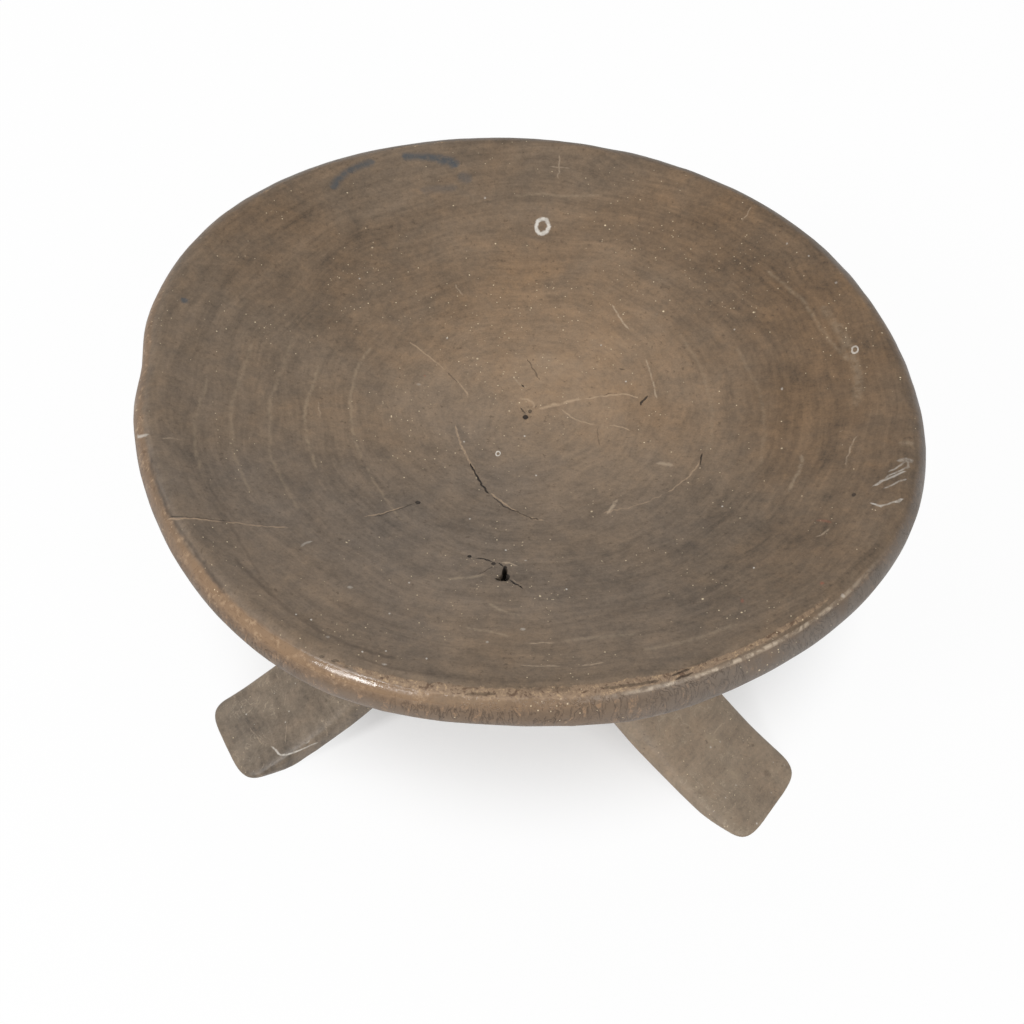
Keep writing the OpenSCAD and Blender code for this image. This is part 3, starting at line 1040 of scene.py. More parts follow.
def store_numbers(obj: bpy.types.Object, name: str, values: np.ndarray) -> None:
    """Keep one number, or three, for each point of a mesh.

    Args:
        obj: The mesh object.
        name: The attribute's name.
        values: The numbers, one row a point.
    """
    single = values.ndim == 1
    attribute = obj.data.attributes.new(name, "FLOAT" if single else "FLOAT_VECTOR", "POINT")
    attribute.data.foreach_set("value" if single else "vector", values.astype(np.float32).ravel())


@dataclass(frozen=True)
class Tint:
    """A colour that lies over the wood, and how much it covers where its mask is full."""

    colour: Paint
    cover: float


@dataclass(frozen=True)
class Tone:
    """A noise that makes the wood lighter and darker, and by how much."""

    pattern: Pattern
    amount: float


@dataclass(frozen=True)
class SpeckSize:
    """Specks of one size: cells to the metre, a speck's share of its cell, and how many cells have one."""

    scale: float
    size: float
    share: float


BROAD = Tone(Pattern(9, 2, 0.5, 0.6), 0.4)
CLOUD = Tone(Pattern(38, 4, 0.62, 0.7), 0.62)
GRIME = Tone(Pattern(120, 4, 0.68, 0.4), 0.66)
FINE = Tone(Pattern(420, 3, 0.65), 0.56)
DUST = Tone(Pattern(1100, 2, 0.6), 0.5)
RING_TONE = Tone(Pattern(1.0, 3, 0.55), 0.5)
RING_LINE = Tone(Pattern(3.4, 3, 0.6), 0.56)

WARMTH = Pattern(17, 3, 0.55, 0.5)
RING_BEND = Pattern(12)
SPECK_CLUSTERS = Pattern(24, 3, 0.65)
EDGE_WOBBLE = Pattern(330, 2, 0.6)
LINE_BREAKS = Pattern(300, 3, 0.7)
SPECK_SIZES = (SpeckSize(420, 0.095, 0.6), SpeckSize(250, 0.072, 0.5), SpeckSize(120, 0.052, 0.45))


@dataclass
class Coat:
    """What a piece's wood shows so far: colour, relief in millimetres and roughness."""

    graph: Graph
    place: Socket
    colour: Socket
    height: Socket
    rough: Socket

    def cover(self, share: Socket, colour: Paint) -> None:
        """Lay a colour over the wood."""
        self.colour = self.graph.mix(share, self.colour, colour)

    def tint(self, mask: Socket, tint: Tint) -> None:
        """Lay a tint over the wood where a mask says."""
        self.cover(self.graph.times(mask, tint.cover), tint.colour)

    def lift(self, mask: Socket, height: float) -> None:
        """Raise the wood where a mask says, or cut it where the height is below nothing."""
        self.height = self.graph.scaled(mask, height, self.height)

    def roughen(self, mask: Socket, amount: float) -> None:
        """Make the wood rougher where a mask says, or glossier where the amount is below nothing."""
        self.rough = self.graph.scaled(mask, amount, self.rough)


@dataclass(frozen=True)
class WoodFinish:
    """Dark worn hardwood from one log, with its pith near the middle of the seat."""

    name: str
    cool: Paint
    middle: Paint
    warm: Paint
    speck_share: float = 0.5
    brightness: float = 0.9
    pith: Point = (2.0, 8.0)
    ring_scale: float = 150
    ring_unevenness: float = 1.6
    ring_bend: float = 0.028
    pores: Tint = Tint(paint(66, 52, 40), 0.45)
    specks: Tint = Tint(paint(240, 220, 184), 0.95)
    gloss: Pattern = Pattern(38, 3)
    smoothest: float = 0.42
    roughest: float = 0.58
    specular: float = 0.45

    def material(self, layers: Iterable[LayerName]) -> bpy.types.Material:
        """Build the wood's node graph.

        Args:
            layers: The layers of marks that lie on the pieces.

        Returns:
            The finished material.
        """
        material = bpy.data.materials.new(self.name)
        graph = Graph(material)
        place = graph.node("ShaderNodeTexCoord").outputs["Object"]
        colour, height = self.grain(graph, place)
        rough = graph.ranged(graph.field(place, self.gloss), 0.3, 0.7, self.smoothest, self.roughest)
        coat = Coat(graph, place, colour, height, rough)
        self.dress(coat)
        self.lay_marks(coat, list(layers))

        bump = graph.node("ShaderNodeBump")
        bump.inputs["Strength"].default_value = 1.0
        bump.inputs["Distance"].default_value = MM
        graph.put(bump.inputs["Height"], coat.height)

        skin = graph.node("ShaderNodeBsdfPrincipled")
        skin.inputs["Specular IOR Level"].default_value = self.specular
        graph.put(skin.inputs["Base Color"], coat.colour)
        graph.put(skin.inputs["Roughness"], coat.rough)
        graph.put(skin.inputs["Normal"], bump.outputs[0])
        out = graph.node("ShaderNodeOutputMaterial")
        graph.put(out.inputs[0], skin.outputs[0])
        return material

    def rings(self, graph: Graph, place: Socket) -> Socket:
        """Stretch space along the growth rings, so that noise in it runs round the pith.

        Args:
            graph: The graph to build in.
            place: The place on the piece.

        Returns:
            A vector of the direction from the pith and the distance from it.
        """
        bend = graph.noise(place, RING_BEND).outputs["Color"]
        bent = graph.vector("MULTIPLY_ADD", bend, (self.ring_bend, self.ring_bend, 0.0), place).outputs[0]
        centre = (*(side * MM + self.ring_bend / 2 for side in self.pith), 0)
        away = graph.vector("SUBTRACT", bent, centre).outputs[0]
        away = graph.vector("MULTIPLY", away, (1, 1, 0)).outputs[0]
        radius = graph.vector("LENGTH", away).outputs["Value"]
        course = graph.vector("NORMALIZE", away).outputs[0]
        rise = graph.node("ShaderNodeCombineXYZ")
        graph.put(rise.inputs[2], graph.times(radius, self.ring_scale))
        return graph.vector("MULTIPLY_ADD", course, (self.ring_unevenness,) * 3, rise.outputs[0]).outputs[0]

    def grain(self, graph: Graph, place: Socket) -> tuple[Socket, Socket]:
        """The wood itself: rings about the pith, pores, grime, and the tones between.

        Args:
            graph: The graph to build in.
            place: The place on the piece.

        Returns:
            The colour, and the height of the fine relief in millimetres.
        """
        tones = {tone: graph.field(place, tone.pattern) for tone in (BROAD, CLOUD, GRIME, FINE, DUST)}
        rings = self.rings(graph, place)
        tones |= {tone: graph.field(rings, tone.pattern) for tone in (RING_TONE, RING_LINE)}
        total = graph.total(graph.times(field, tone.amount) for tone, field in tones.items())
        middle = sum(tone.amount for tone in tones) / 2
        # The stored tone lightens and darkens places: on the seat partly painted sheen and shade, on the legs
        # painted light.
        total = graph.total((total, graph.attribute("tone"), self.brightness - middle))

        warmth = graph.field(place, WARMTH)
        lean = graph.scaled(graph.attribute("warmth"), 0.22, 0.22)
        lean = graph.scaled(warmth, 0.36, lean)
        lean = graph.scaled(tones[GRIME], 0.2, lean)
        colour = graph.ramp(lean, ((0.3, self.cool), (0.5, self.middle), (0.72, self.warm)))
        colour = graph.vector("SCALE", colour, scale=total).outputs[0]

        # Pores and packed grime are dark, and small.
        pores = graph.times(graph.ranged(tones[FINE], 0.4, 0.3), graph.ranged(tones[GRIME], 0.42, 0.6))
        colour = graph.mix(graph.times(pores, self.pores.cover), colour, self.pores.colour)

        height = graph.times(tones[FINE], 0.16)
        height = graph.scaled(tones[CLOUD], 0.3, height)
        return colour, graph.scaled(tones[RING_TONE], 0.14, height)

    def dress(self, coat: Coat) -> None:
        """What use has done to this piece; plain wood has nothing more."""

    def speck_mask(self, graph: Graph, place: Socket) -> Socket:
        """Scatter tiny pale specks, thick in some places and thin in others.

        Args:
            graph: The graph to build in.
            place: The place on the piece.

        Returns:
            Their mask, from 0 to 1.
        """
        clusters = graph.field(place, SPECK_CLUSTERS)
        clusters = graph.scaled(graph.attribute("specks"), 0.3, clusters)
        masks = []
        for speck in SPECK_SIZES:
            cell = graph.cells(place, speck.scale)
            pick = graph.node("ShaderNodeSeparateColor")
            graph.put(pick.inputs[0], cell.outputs["Color"])
            dot = graph.ranged(cell.outputs["Distance"], speck.size * 0.6, speck.size * 1.5, 1, 0)
            limit = graph.ranged(clusters, 0.43, 0.7, 0.015, speck.share * self.speck_share * 2)
            keep = graph.math("LESS_THAN", pick.outputs[0], limit)
            shade = graph.scaled(pick.outputs[1], 0.7, 0.3)
            masks.append(graph.times(graph.times(dot, shade), keep))
        return graph.total(masks, "MAXIMUM")

    @staticmethod
    def mark_mask(graph: Graph, name: LayerName, wobble: Socket) -> Socket:
        """The mask of one layer of lines or spots.

        Args:
            graph: The graph to build in.
            name: The layer.
            wobble: A small random distance, which makes edges unsteady.

        Returns:
            Its cover, from 0 to 1.
        """
        mark, form, _ = name
        finish = MARK_FINISHES[mark]
        label = layer_label(name)
        stored = graph.attribute(label, "Vector")
        strength = graph.attribute(f"{label}_strength")
        low, high = 1 - finish.softness, 1 + 0.6 * finish.softness
        if form == "spot":
            low = finish.spot_core or low
            wobble = graph.vector("SCALE", wobble, scale=0.4).outputs[0]
            moved = graph.vector("ADD", stored, wobble).outputs[0]
            distance = graph.vector("LENGTH", moved).outputs["Value"]
            if finish.outline:
                away = graph.math("ABSOLUTE", graph.math("SUBTRACT", distance, 1.0))
                cover = graph.ranged(away, finish.outline * 0.4, finish.outline * 1.3, 1, 0)
            else:
                cover = graph.ranged(distance, low, low + 0.2 + 0.25 * finish.softness, 1, 0)
            return graph.times(cover, strength)
        parts = graph.node("ShaderNodeSeparateXYZ")
        graph.put(parts.inputs[0], stored)
        across, inside, half_width = parts.outputs
        drift = graph.vector("DOT_PRODUCT", wobble, (0.5, 0.5, 0)).outputs["Value"]
        share = graph.math("DIVIDE", graph.math("ABSOLUTE", graph.math("ADD", across, drift)), half_width)
        share = graph.math("ADD", share, graph.ranged(inside, -1.0, 3.2, 2.2, 0))
        return graph.times(graph.ranged(share, low, high, 1, 0), strength)

    def lay_marks(self, coat: Coat, layers: Sequence[LayerName]) -> None:
        """Lay the specks, cracks, scratches and stains over the wood.

        Args:
            coat: The wood so far.
            layers: The layers of marks.
        """
        graph, place = coat.graph, coat.place
        coat.tint(self.speck_mask(graph, place), self.specks)

        wobble = graph.noise(place, EDGE_WOBBLE).outputs["Color"]
        wobble = graph.vector("MULTIPLY_ADD", wobble, (1.6, 1.6, 1.6), (-0.8, -0.8, -0.8)).outputs[0]
        breaks = graph.field(place, LINE_BREAKS)
        for mark, finish in MARK_FINISHES.items():
            masks = [self.mark_mask(graph, name, wobble) for name in layers if name[0] is mark]
            if not masks:
                continue
            mask = graph.total(masks, "MAXIMUM")
            if finish.broken:
                mask = graph.times(mask, graph.ranged(breaks, 0.36, 0.58, 1 - finish.broken, 1))
            coat.cover(graph.clamped(graph.times(mask, finish.strength)), finish.colour)
            if finish.depth:
                coat.lift(mask, -finish.depth)
            if finish.dryness:
                coat.roughen(mask, finish.dryness)


@dataclass(frozen=True)
class SeatFinish(WoodFinish):
    """The seat's wood: rubbed and mottled in the dish, and worn to copper and tan on the rim."""

    patches: Pattern = Pattern(46, 4, 0.62, 0.6)
    grit: Pattern = Pattern(520, 4, 0.72, 0.5)
    lumps: Pattern = Pattern(210, 3, 0.6, 0.8)
    checks: Pattern = Pattern(300, 3, 0.62, 0.9)
    copper: Tint = Tint(paint(130, 103, 77), 0.7)
    copper_grime: Tint = Tint(paint(84, 62, 44), 0.5)
    copper_scuffs: Tint = Tint(paint(182, 155, 126), 0.6)
    face: Tint = Tint(paint(108, 88, 70), 0.6)
    face_checks: Tint = Tint(paint(70, 52, 38), 0.5)
    face_streaks: Tint = Tint(paint(166, 132, 100), 0.5)
    # Weathered bluish grey, and a painted reflection along the back of the crest.
    weathered_and_reflected_grey: Paint = paint(114, 105, 96)
    crumbs: Tint = Tint(paint(156, 130, 104), 0.5)
    grains: Tint = Tint(paint(196, 166, 130), 0.6)
    pits: Tint = Tint(paint(78, 54, 38), 0.72)
    # A painted highlight along the rim's outer edge.
    edge: Paint = paint(198, 180, 158)
    # Lighter tan where hands polished the rim, partly a painted highlight.
    polish_and_highlight: Tint = Tint(paint(168, 138, 108), 0.25)

    def dress(self, coat: Coat) -> None:
        """Wear the rim from its crumbling inner band to its checked outer face, and paint highlights on it
        and a reflection on the back of its crest.

        Args:
            coat: The wood so far.
        """
        graph, place = coat.graph, coat.place
        patch = graph.field(place, self.patches)
        grit = graph.field(place, self.grit)
        lumps = graph.field(place, self.lumps)
        copper, crumbs, face = self.worn(graph, "wear")
        polish_and_highlight, edge, weathered_and_reflected = self.worn(graph, "finish")

        # The rounded inner side of the rim is rubbed to copper brown.
        ragged = graph.scaled(graph.math("SUBTRACT", patch, 0.5), 1.0, copper)
        ragged = graph.scaled(graph.math("SUBTRACT", lumps, 0.5), 0.9, ragged)
        rubbed = graph.ranged(ragged, 0.3, 1.05)
        coat.tint(rubbed, self.copper)
        coat.tint(graph.times(rubbed, graph.ranged(grit, 0.47, 0.36)), self.copper_grime)
        scuffed = graph.times(rubbed, graph.ranged(lumps, 0.5, 0.64))
        coat.tint(graph.times(scuffed, graph.ranged(grit, 0.44, 0.62)), self.copper_scuffs)

        # The outer face is browner, with fine checks that wander down it.
        upright = graph.node("ShaderNodeMapping")
        upright.inputs["Scale"].default_value = (1, 1, 0.3)
        graph.put(upright.inputs["Vector"], place)
        checks = graph.field(upright.outputs[0], self.checks)
        away = graph.math("ABSOLUTE", graph.math("SUBTRACT", checks, 0.5))
        check = graph.times(graph.ranged(away, 0.0, 0.03, 1, 0), graph.ranged(patch, 0.36, 0.56))
        check = graph.times(check, face)
        coat.tint(face, self.face)
        coat.tint(check, self.face_checks)
        streaks = graph.times(graph.ranged(checks, 0.55, 0.62), graph.ranged(grit, 0.45, 0.6))
        coat.tint(graph.times(streaks, face), self.face_streaks)
        coat.lift(check, -0.18)

        # To the right it is weathered bluish grey; along the back of the crest the same grey is a painted
        # reflection.
        coat.cover(graph.times(weathered_and_reflected, graph.ranged(patch, 0.3, 0.6, 0.35, 0.85)), self.weathered_and_reflected_grey)

        # The band on the crest crumbles: tan grains, dark pits and lumps.
        torn = graph.scaled(graph.math("SUBTRACT", lumps, 0.5), 0.75, crumbs)
        torn = graph.scaled(graph.math("SUBTRACT", patch, 0.5), 0.8, torn)
        crumbling = graph.ranged(torn, 0.44, 0.66)
        coat.tint(crumbling, self.crumbs)
        coat.tint(graph.times(crumbling, graph.ranged(grit, 0.52, 0.66)), self.grains)
        pits = graph.times(crumbling, graph.ranged(grit, 0.46, 0.34))
        deeper = graph.times(crumbling, graph.ranged(lumps, 0.42, 0.34))
        coat.tint(graph.math("MAXIMUM", pits, deeper), self.pits)
        coat.lift(graph.times(crumbs, lumps), 0.7)
        coat.lift(graph.times(crumbling, grit), 0.3)

        # Its outer edge is a thin pale line, a painted highlight along the right front; on the left the rim
        # is polished by hands and painted lighter tan, partly a painted highlight.
        coat.cover(graph.times(edge, graph.ranged(lumps, 0.38, 0.6, 0.15, 0.85)), self.edge)
        coat.tint(polish_and_highlight, self.polish_and_highlight)
        gloss = graph.math("MAXIMUM", polish_and_highlight, graph.times(edge, 0.6))
        coat.roughen(crumbling, 0.16)
        coat.roughen(gloss, -0.3)
        coat.height = graph.times(coat.height, graph.ranged(polish_and_highlight, 0, 1, 1, 0.6))

    @staticmethod
    def worn(graph: Graph, name: str) -> tuple[Socket, ...]:
        """Read the three shares of wear that the mesh keeps under a name.

        Args:
            graph: The graph to build in.
            name: The name.

        Returns:
            The three shares.
        """
        parts = graph.node("ShaderNodeSeparateXYZ")
        graph.put(parts.inputs[0], graph.attribute(name, "Vector"))
        return tuple(parts.outputs)


@dataclass(frozen=True)
class LegFinish(WoodFinish):
    """The legs' wood: taupe, satin and scuffed pale on top."""

    patches: Pattern = Pattern(34, 4, 0.62, 0.8)
    threads: Pattern = Pattern(120, 3, 0.6, 1.4)
    scuffs: Tint = Tint(paint(160, 144, 124), 0.3)
    fibres: Tint = Tint(paint(180, 164, 142), 0.5)

    def dress(self, coat: Coat) -> None:
        """Rub and scuff the top of the feet.

        Args:
            coat: The wood so far.
        """
        graph, place = coat.graph, coat.place
        patch = graph.field(place, self.patches)
        normal = graph.node("ShaderNodeNewGeometry").outputs["Normal"]
        up = graph.vector("DOT_PRODUCT", normal, (0, 0, 1)).outputs["Value"]
        top = graph.ranged(up, 0.2, 0.75)
        coat.tint(graph.times(top, graph.ranged(patch, 0.42, 0.66)), self.scuffs)

        # Fine pale threads, as of dried fibres, wander over the rubbed places.
        threads = graph.field(place, self.threads)
        away = graph.math("ABSOLUTE", graph.math("SUBTRACT", threads, 0.5))
        thread = graph.times(graph.ranged(away, 0.0, 0.022, 1, 0), graph.ranged(patch, 0.46, 0.6))
        coat.tint(graph.times(thread, top), self.fibres)


@dataclass(frozen=True)
class LegPlace:
    """Where a leg stands, what the carver's hand left on it, and how much lighter or darker it is painted for
    the light that falls on it.
    """

    name: str
    azimuth: float
    shift: float
    wider: float
    slant: float
    # How much lighter or darker the leg is painted: painted light, for how the lamps fall on it.
    tone: float = 0.0


@dataclass
class Seat:
    """The dished seat, its rolled rim, its belly and the sockets of the legs. Sizes in millimetres."""

    diameter: float = 360
    crest: float = 195
    dish_depth: float = 27
    thickness: float = 22
    rim_height: float = 19
    rim_width: float = 19
    tilt: float = 2.5
    tilt_azimuth: float = 195
    waves: tuple[Bump, ...] = ((2, 3.3, -55.5), (3, 1.85, 13), (4, 1.95, -28), (7, 0.3, -8))
    dents: tuple[Bump, ...] = ((183, 2.6, 6.6),)
    swells: tuple[Bump, ...] = ((-67.6, 6.4, 13.2), (-110, 3.7, 17))
    swell_power: float = 6
    dish_angle: float = 107
    belly_angle: float = -68
    belly_power: float = 2.2
    segments: int = 108
    dish_rings: int = 22
    rim_rings: int = 12
    belly_rings: int = 10
    knot: Point = (3.0, -99.0)
    knot_reach: float = 9
    knot_depth: float = 5.5
    knot_lobes: tuple[tuple[float, float, float, float], ...] = (
        (0.0, 2.0, 1.0, 2.8), (0.3, -1.8, 1.9, 2.2), (-1.5, -3.1, 1.4, 0.9)
    )
    dish_hollows: Hollows = Hollows(0.5, 34, 3.1)
    ripples: Hollows = Hollows(1, 11, 7.7)
    rim_hollows: Hollows = Hollows(0.5, 13, 1.3)
    rim_ripples: Hollows = Hollows(0.16, 4.5, 5.9)
    scoops: Scoops = Scoops(0.9, 24, 2.2)
    crumbling_depth: float = 0.25
    mark_limit: float = 9
    patch_limit: float = 12
    on_rim: Band = Band(-12, -2, 12, 24)
    copper: Band = Band(0, 7, 12, 17)
    copper_side: Band = Band(-205, -185, -104, -82)
    # Where the polished rim is painted lighter, partly as a highlight.
    polish_and_highlight: Band = Band(3.8, 5.6, 9, 11.5)
    polish_and_highlight_side: Band = Band(-150, -128, -82, -68)
    # Where a highlight is painted on the rim's edge.
    painted_highlight_side: Band = Band(-76, -64, -46, -24)
    cold_side: Band = Band(-80, -45, 20, 50)
    # Where a reflection is painted along the back of the crest.
    reflected_back: Band = Band(15, 40, 136, 158)
    broad_side: Band = Band(-105, -92, -70, -55)
    crumbling_side: Band = Band(-116, -98, -52, -28)
    crumbling_back: Band = Band(92, 112, 138, 158)
    obj: bpy.types.Object | None = field(default=None, repr=False)

    @property
    def rim_centre(self) -> Point:
        """Middle of the rim's oval section, as distance out and height."""
        return self.diameter / 2 - self.rim_width / 2, self.crest - self.rim_height / 2

    @property
    def dish_floor(self) -> float:
        """Height of the middle of the dish."""
        return self.crest - self.dish_depth

    @property
    def belly_floor(self) -> float:
        """Height of the middle of the underside."""
        return self.dish_floor - self.thickness

    def rim_point(self, angle: float) -> Point:
        """Find a point on the rim's oval section.

        Args:
            angle: Its angle, in degrees up from straight outwards.

        Returns:
            The point, as distance out and height.
        """
        out, up = self.rim_centre
        turn = math.radians(angle)
        return out + self.rim_width / 2 * math.cos(turn), up + self.rim_height / 2 * math.sin(turn)

    def section(self) -> list[Point]:
        """The seat's section from near the middle of the dish, over the rim, to near the middle below.

        Returns:
            Points as distance out and height.
        """
        edge_out, edge_up = self.rim_point(self.dish_angle)
        low_out, low_up = self.rim_point(self.belly_angle)
        sweep = self.belly_angle - self.dish_angle
        points = []
        for step in range(1, self.dish_rings + 1):
            share = step / self.dish_rings
            points.append((edge_out * share, self.dish_floor + (edge_up - self.dish_floor) * share**2))
        for step in range(1, self.rim_rings + 1):
            points.append(self.rim_point(self.dish_angle + sweep * step / self.rim_rings))
        for step in range(self.belly_rings - 1, 0, -1):
            share = step / self.belly_rings
            rise = (low_up - self.belly_floor) * share**self.belly_power
            points.append((low_out * share, self.belly_floor + rise))
        return points

    def outline(self, azimuth: np.ndarray) -> np.ndarray:
        """Work out how far the hand-cut outline stands out from a round one.

        Args:
            azimuth: Azimuths, in degrees.

        Returns:
            The distance at each azimuth.
        """
        total = np.zeros_like(azimuth)
        for lobes, height, crest in self.waves:
            total += height * np.cos(np.radians(lobes * (azimuth - crest)))
        return total - self.bumps(self.dents, azimuth)

    @staticmethod
    def bumps(places: Iterable[Bump], azimuth: np.ndarray) -> np.ndarray:
        """Add up soft bumps round the seat.

        Args:
            places: The bumps, each with its azimuth, its height and half its width in degrees.
            azimuth: Azimuths, in degrees.

        Returns:
            The height at each azimuth.
        """
        total = np.zeros_like(azimuth)
        for place, height, width in places:
            apart = np.abs((azimuth - place + 540) % 360 - 180)
            total += height * np.exp(-((apart / width) ** 2))
        return total

    def build(self) -> bpy.types.Object:
        """Model the seat.

        Returns:
            The seat's object, at the origin, with its place in its mesh.
        """
        self.turn_blank()
        self.cut_outline()
        self.work_surface()
        return self.obj

    def turn_blank(self) -> None:
        """Draw the round section outwards from the middle of the dish and close it underneath."""
        section = self.section()
        first_out, first_up = section[0]
        select_only(None)
        bpy.ops.mesh.primitive_circle_add(
            vertices=self.segments, radius=first_out * MM, fill_type="TRIFAN", location=(0, 0, 0)
        )
        self.obj = bpy.context.object
        self.obj.name = "seat_carved"
        with editing(self.obj):
            bpy.ops.transform.translate(value=(0, 0, first_up * MM))
            bpy.ops.mesh.select_all(action="DESELECT")
            bpy.ops.mesh.select_non_manifold()
            for (out, up), (next_out, next_up) in pairwise(section):
                rise = (0, 0, (next_up - up) * MM)
                bpy.ops.mesh.extrude_region_move(TRANSFORM_OT_translate={"value": rise})
                wider = next_out / out
                bpy.ops.transform.resize(value=(wider, wider, 1), center_override=(0, 0, 0))
            bpy.ops.mesh.edge_face_add()
            bpy.ops.mesh.poke()
            bpy.ops.mesh.select_all(action="SELECT")
            bpy.ops.mesh.normals_make_consistent(inside=False)
        points = read_points(self.obj)
        middle = np.hypot(points[:, 0], points[:, 1]) < 0.01
        above = points[:, 2] > (self.dish_floor + self.belly_floor) / 2
        points[middle & above, 2] = self.dish_floor
        points[middle & ~above, 2] = self.belly_floor
        write_points(self.obj, points)
        apply_modifier(self.obj, "SUBSURF", levels=2, render_levels=2)

    def cut_outline(self) -> None:
        """Give the round blank its uneven outline, its lean and its thicker places."""
        points = read_points(self.obj)
        azimuth = azimuths(points)
        radius = np.hypot(points[:, 0], points[:, 1])
        limb, level = self.rim_centre
        low_out = self.rim_point(self.belly_angle)[0]
        share = np.clip((level - points[:, 2]) / (self.rim_height / 2), 0, 1)
        dying = -math.sin(math.radians(self.belly_angle)) * (radius / low_out) ** self.swell_power
        share = np.where(radius < low_out, dying, share)
        share = np.where(self.is_top(radius, points[:, 2]), 0, share)
        grown = radius + self.outline(azimuth) * (radius / limb) ** 2
        safe = np.maximum(radius, 1e-6)
        points[:, 0] *= grown / safe
        points[:, 1] *= grown / safe
        points[:, 2] += self.tilt * grown / limb * np.cos(np.radians(azimuth - self.tilt_azimuth))
        points[:, 2] -= self.bumps(self.swells, azimuth) * share
        write_points(self.obj, points)

    def is_top(self, out: np.ndarray, up: np.ndarray) -> np.ndarray:
        """Tell which places on the round section are above the middle of its wood.

        Args:
            out: Distances out.
            up: Heights.

        Returns:
            True for each place above.
        """
        limb, level = self.rim_centre
        middle = self.dish_floor - self.thickness / 2
        return up > middle + (level - middle) * np.clip(out / limb, 0, 1) ** 2

    def round_place(self, points: np.ndarray) -> tuple[np.ndarray, np.ndarray]:
        """Undo the outline and the lean, to say where a point is on the round section.

        Args:
            points: Points on the seat, in millimetres.

        Returns:
            Distance out and height on the round section.
        """
        azimuth = azimuths(points)
        radius = np.hypot(points[:, 0], points[:, 1])
        limb = self.rim_centre[0]
        out = radius - self.outline(azimuth) * (radius / limb) ** 2
        up = points[:, 2] - self.tilt * radius / limb * np.cos(np.radians(azimuth - self.tilt_azimuth))
        return out, up

    def across(self, points: np.ndarray) -> np.ndarray:
        """Measure how far points are from the rim's crest, along the section.

        Args:
            points: Points on the seat, in millimetres.

        Returns:
            The distances: minus in the dish, plus outside and underneath.
        """
        out, up = self.round_place(points)
        limb, level = self.rim_centre
        deeper = self.bumps(self.swells, azimuths(points))
        half = self.rim_height / 2 + np.where(up < level, deeper, 0)
        angle = np.degrees(np.arctan2((up - level) / half, (out - limb) / (self.rim_width / 2)))
        arc = math.pi / 180 * self.rim_width / 2
        edge_out = self.rim_point(self.dish_angle)[0]
        low_out = self.rim_point(self.belly_angle)[0]
        over = self.is_top(out, up)
        result = (90 - angle) * arc
        result = np.where(over & (out < edge_out), -(self.dish_angle - 90) * arc - (edge_out - out), result)
        result = np.where(~over & (out < low_out), (90 - self.belly_angle) * arc + (low_out - out), result)
        return result

    def work_surface(self) -> None:
        """Leave the tool's soft hollows in the dish, wear on the rim and scoops underneath."""
        points = read_points(self.obj)
        normals = read_normals(self.obj)
        across = self.across(points)
        in_dish = smoothstep(0, -12, across)
        on_rim = self.on_rim.share(across)
        under = smoothstep(16, 34, across)
        depth = self.crumbling_depth * self.crumbling(points, across)
        depth += in_dish * self.dish_hollows.cut(points)
        depth += (0.16 * in_dish + 0.3 * under) * self.ripples.cut(points)
        depth += on_rim * (self.rim_hollows.cut(points) + self.rim_ripples.cut(points))
        scooped = under > 0.01
        depth[scooped] += under[scooped] * self.scoops.cut(points[scooped])
        write_points(self.obj, points - normals * depth[:, None])

    def crumbling(self, points: np.ndarray, across: np.ndarray) -> np.ndarray:
        """Work out how far the wood crumbles: in a band on the crest, mostly at the front.

        Args:
            points: Points on the seat, in millimetres.
            across: Their distances from the crest.

        Returns:
            The share of crumbled wood at each point, from 0 to 1.
        """
        azimuth = azimuths(points)
        middle = 3.0 - 1.1 * smoothstep(-65, -45, azimuth)
        half = 1.5 + 1.3 * self.broad_side.round_share(azimuth)
        band = np.clip(1 - np.abs(across - middle) / half / 2, 0, 1)
        front = 0.3 + 0.7 * self.crumbling_side.round_share(azimuth)
        back = smoothstep(0, 130, points[:, 1])
        far_left = self.crumbling_back.round_share(azimuth)
        return band * np.maximum(front * (1 - 0.5 * back), 0.6 * far_left)

    def store_wear(self) -> None:
        """Keep the wear of each place on the mesh, where it is copper brown, crumbles, or is polished, and
        where a highlight and a reflection are painted.
        """
        points = read_points(self.obj)
        across = self.across(points)
        azimuth = azimuths(points)
        left = self.copper_side.round_share(azimuth)
        copper = self.copper.share(across) * (0.2 + 0.8 * left)
        face = smoothstep(4.5 + 5 * left, 8 + 6 * left, across) * smoothstep(40, 26, across)
        # Polished by hands, and painted lighter there as part of the highlight.
        polish_and_highlight = self.polish_and_highlight.share(across) * self.polish_and_highlight_side.round_share(azimuth)
        middle = 6.3 - 0.8 * smoothstep(-68, -52, azimuth)
        # The pale edge is a painted highlight along the right front of the crest.
        edge = smoothstep(1.2, 0.3, np.abs(across - middle)) * self.painted_highlight_side.round_share(azimuth)
        weathered_and_reflected = smoothstep(4.5, 9, across) * self.cold_side.round_share(azimuth)
        weathered_and_reflected += 0.5 * smoothstep(22, 40, across)
        # Along the back of the crest the grey is a painted reflection.
        weathered_and_reflected += 0.8 * smoothstep(0.5, 3, across) * self.reflected_back.round_share(azimuth)
        store_numbers(self.obj, "wear", np.stack((copper, self.crumbling(points, across), face), axis=1))
        store_numbers(self.obj, "finish", np.stack((polish_and_highlight, edge, np.minimum(weathered_and_reflected, 1)), axis=1))
        # Tone, warmth and specks from the patches; the tone is partly painted sheen and shade.
        for name in ("tone", "warmth", "specks"):
            total = np.zeros(len(points))
            for patch in SEAT_PATCHES:
                x = (points[:, 0] - patch.centre[0]) / patch.wide
                y = (points[:, 1] - patch.centre[1]) / patch.deep
                total += getattr(patch, name) * np.exp(-(x**2) - y**2)
            store_numbers(self.obj, name, np.where(across < self.patch_limit, total, 0))

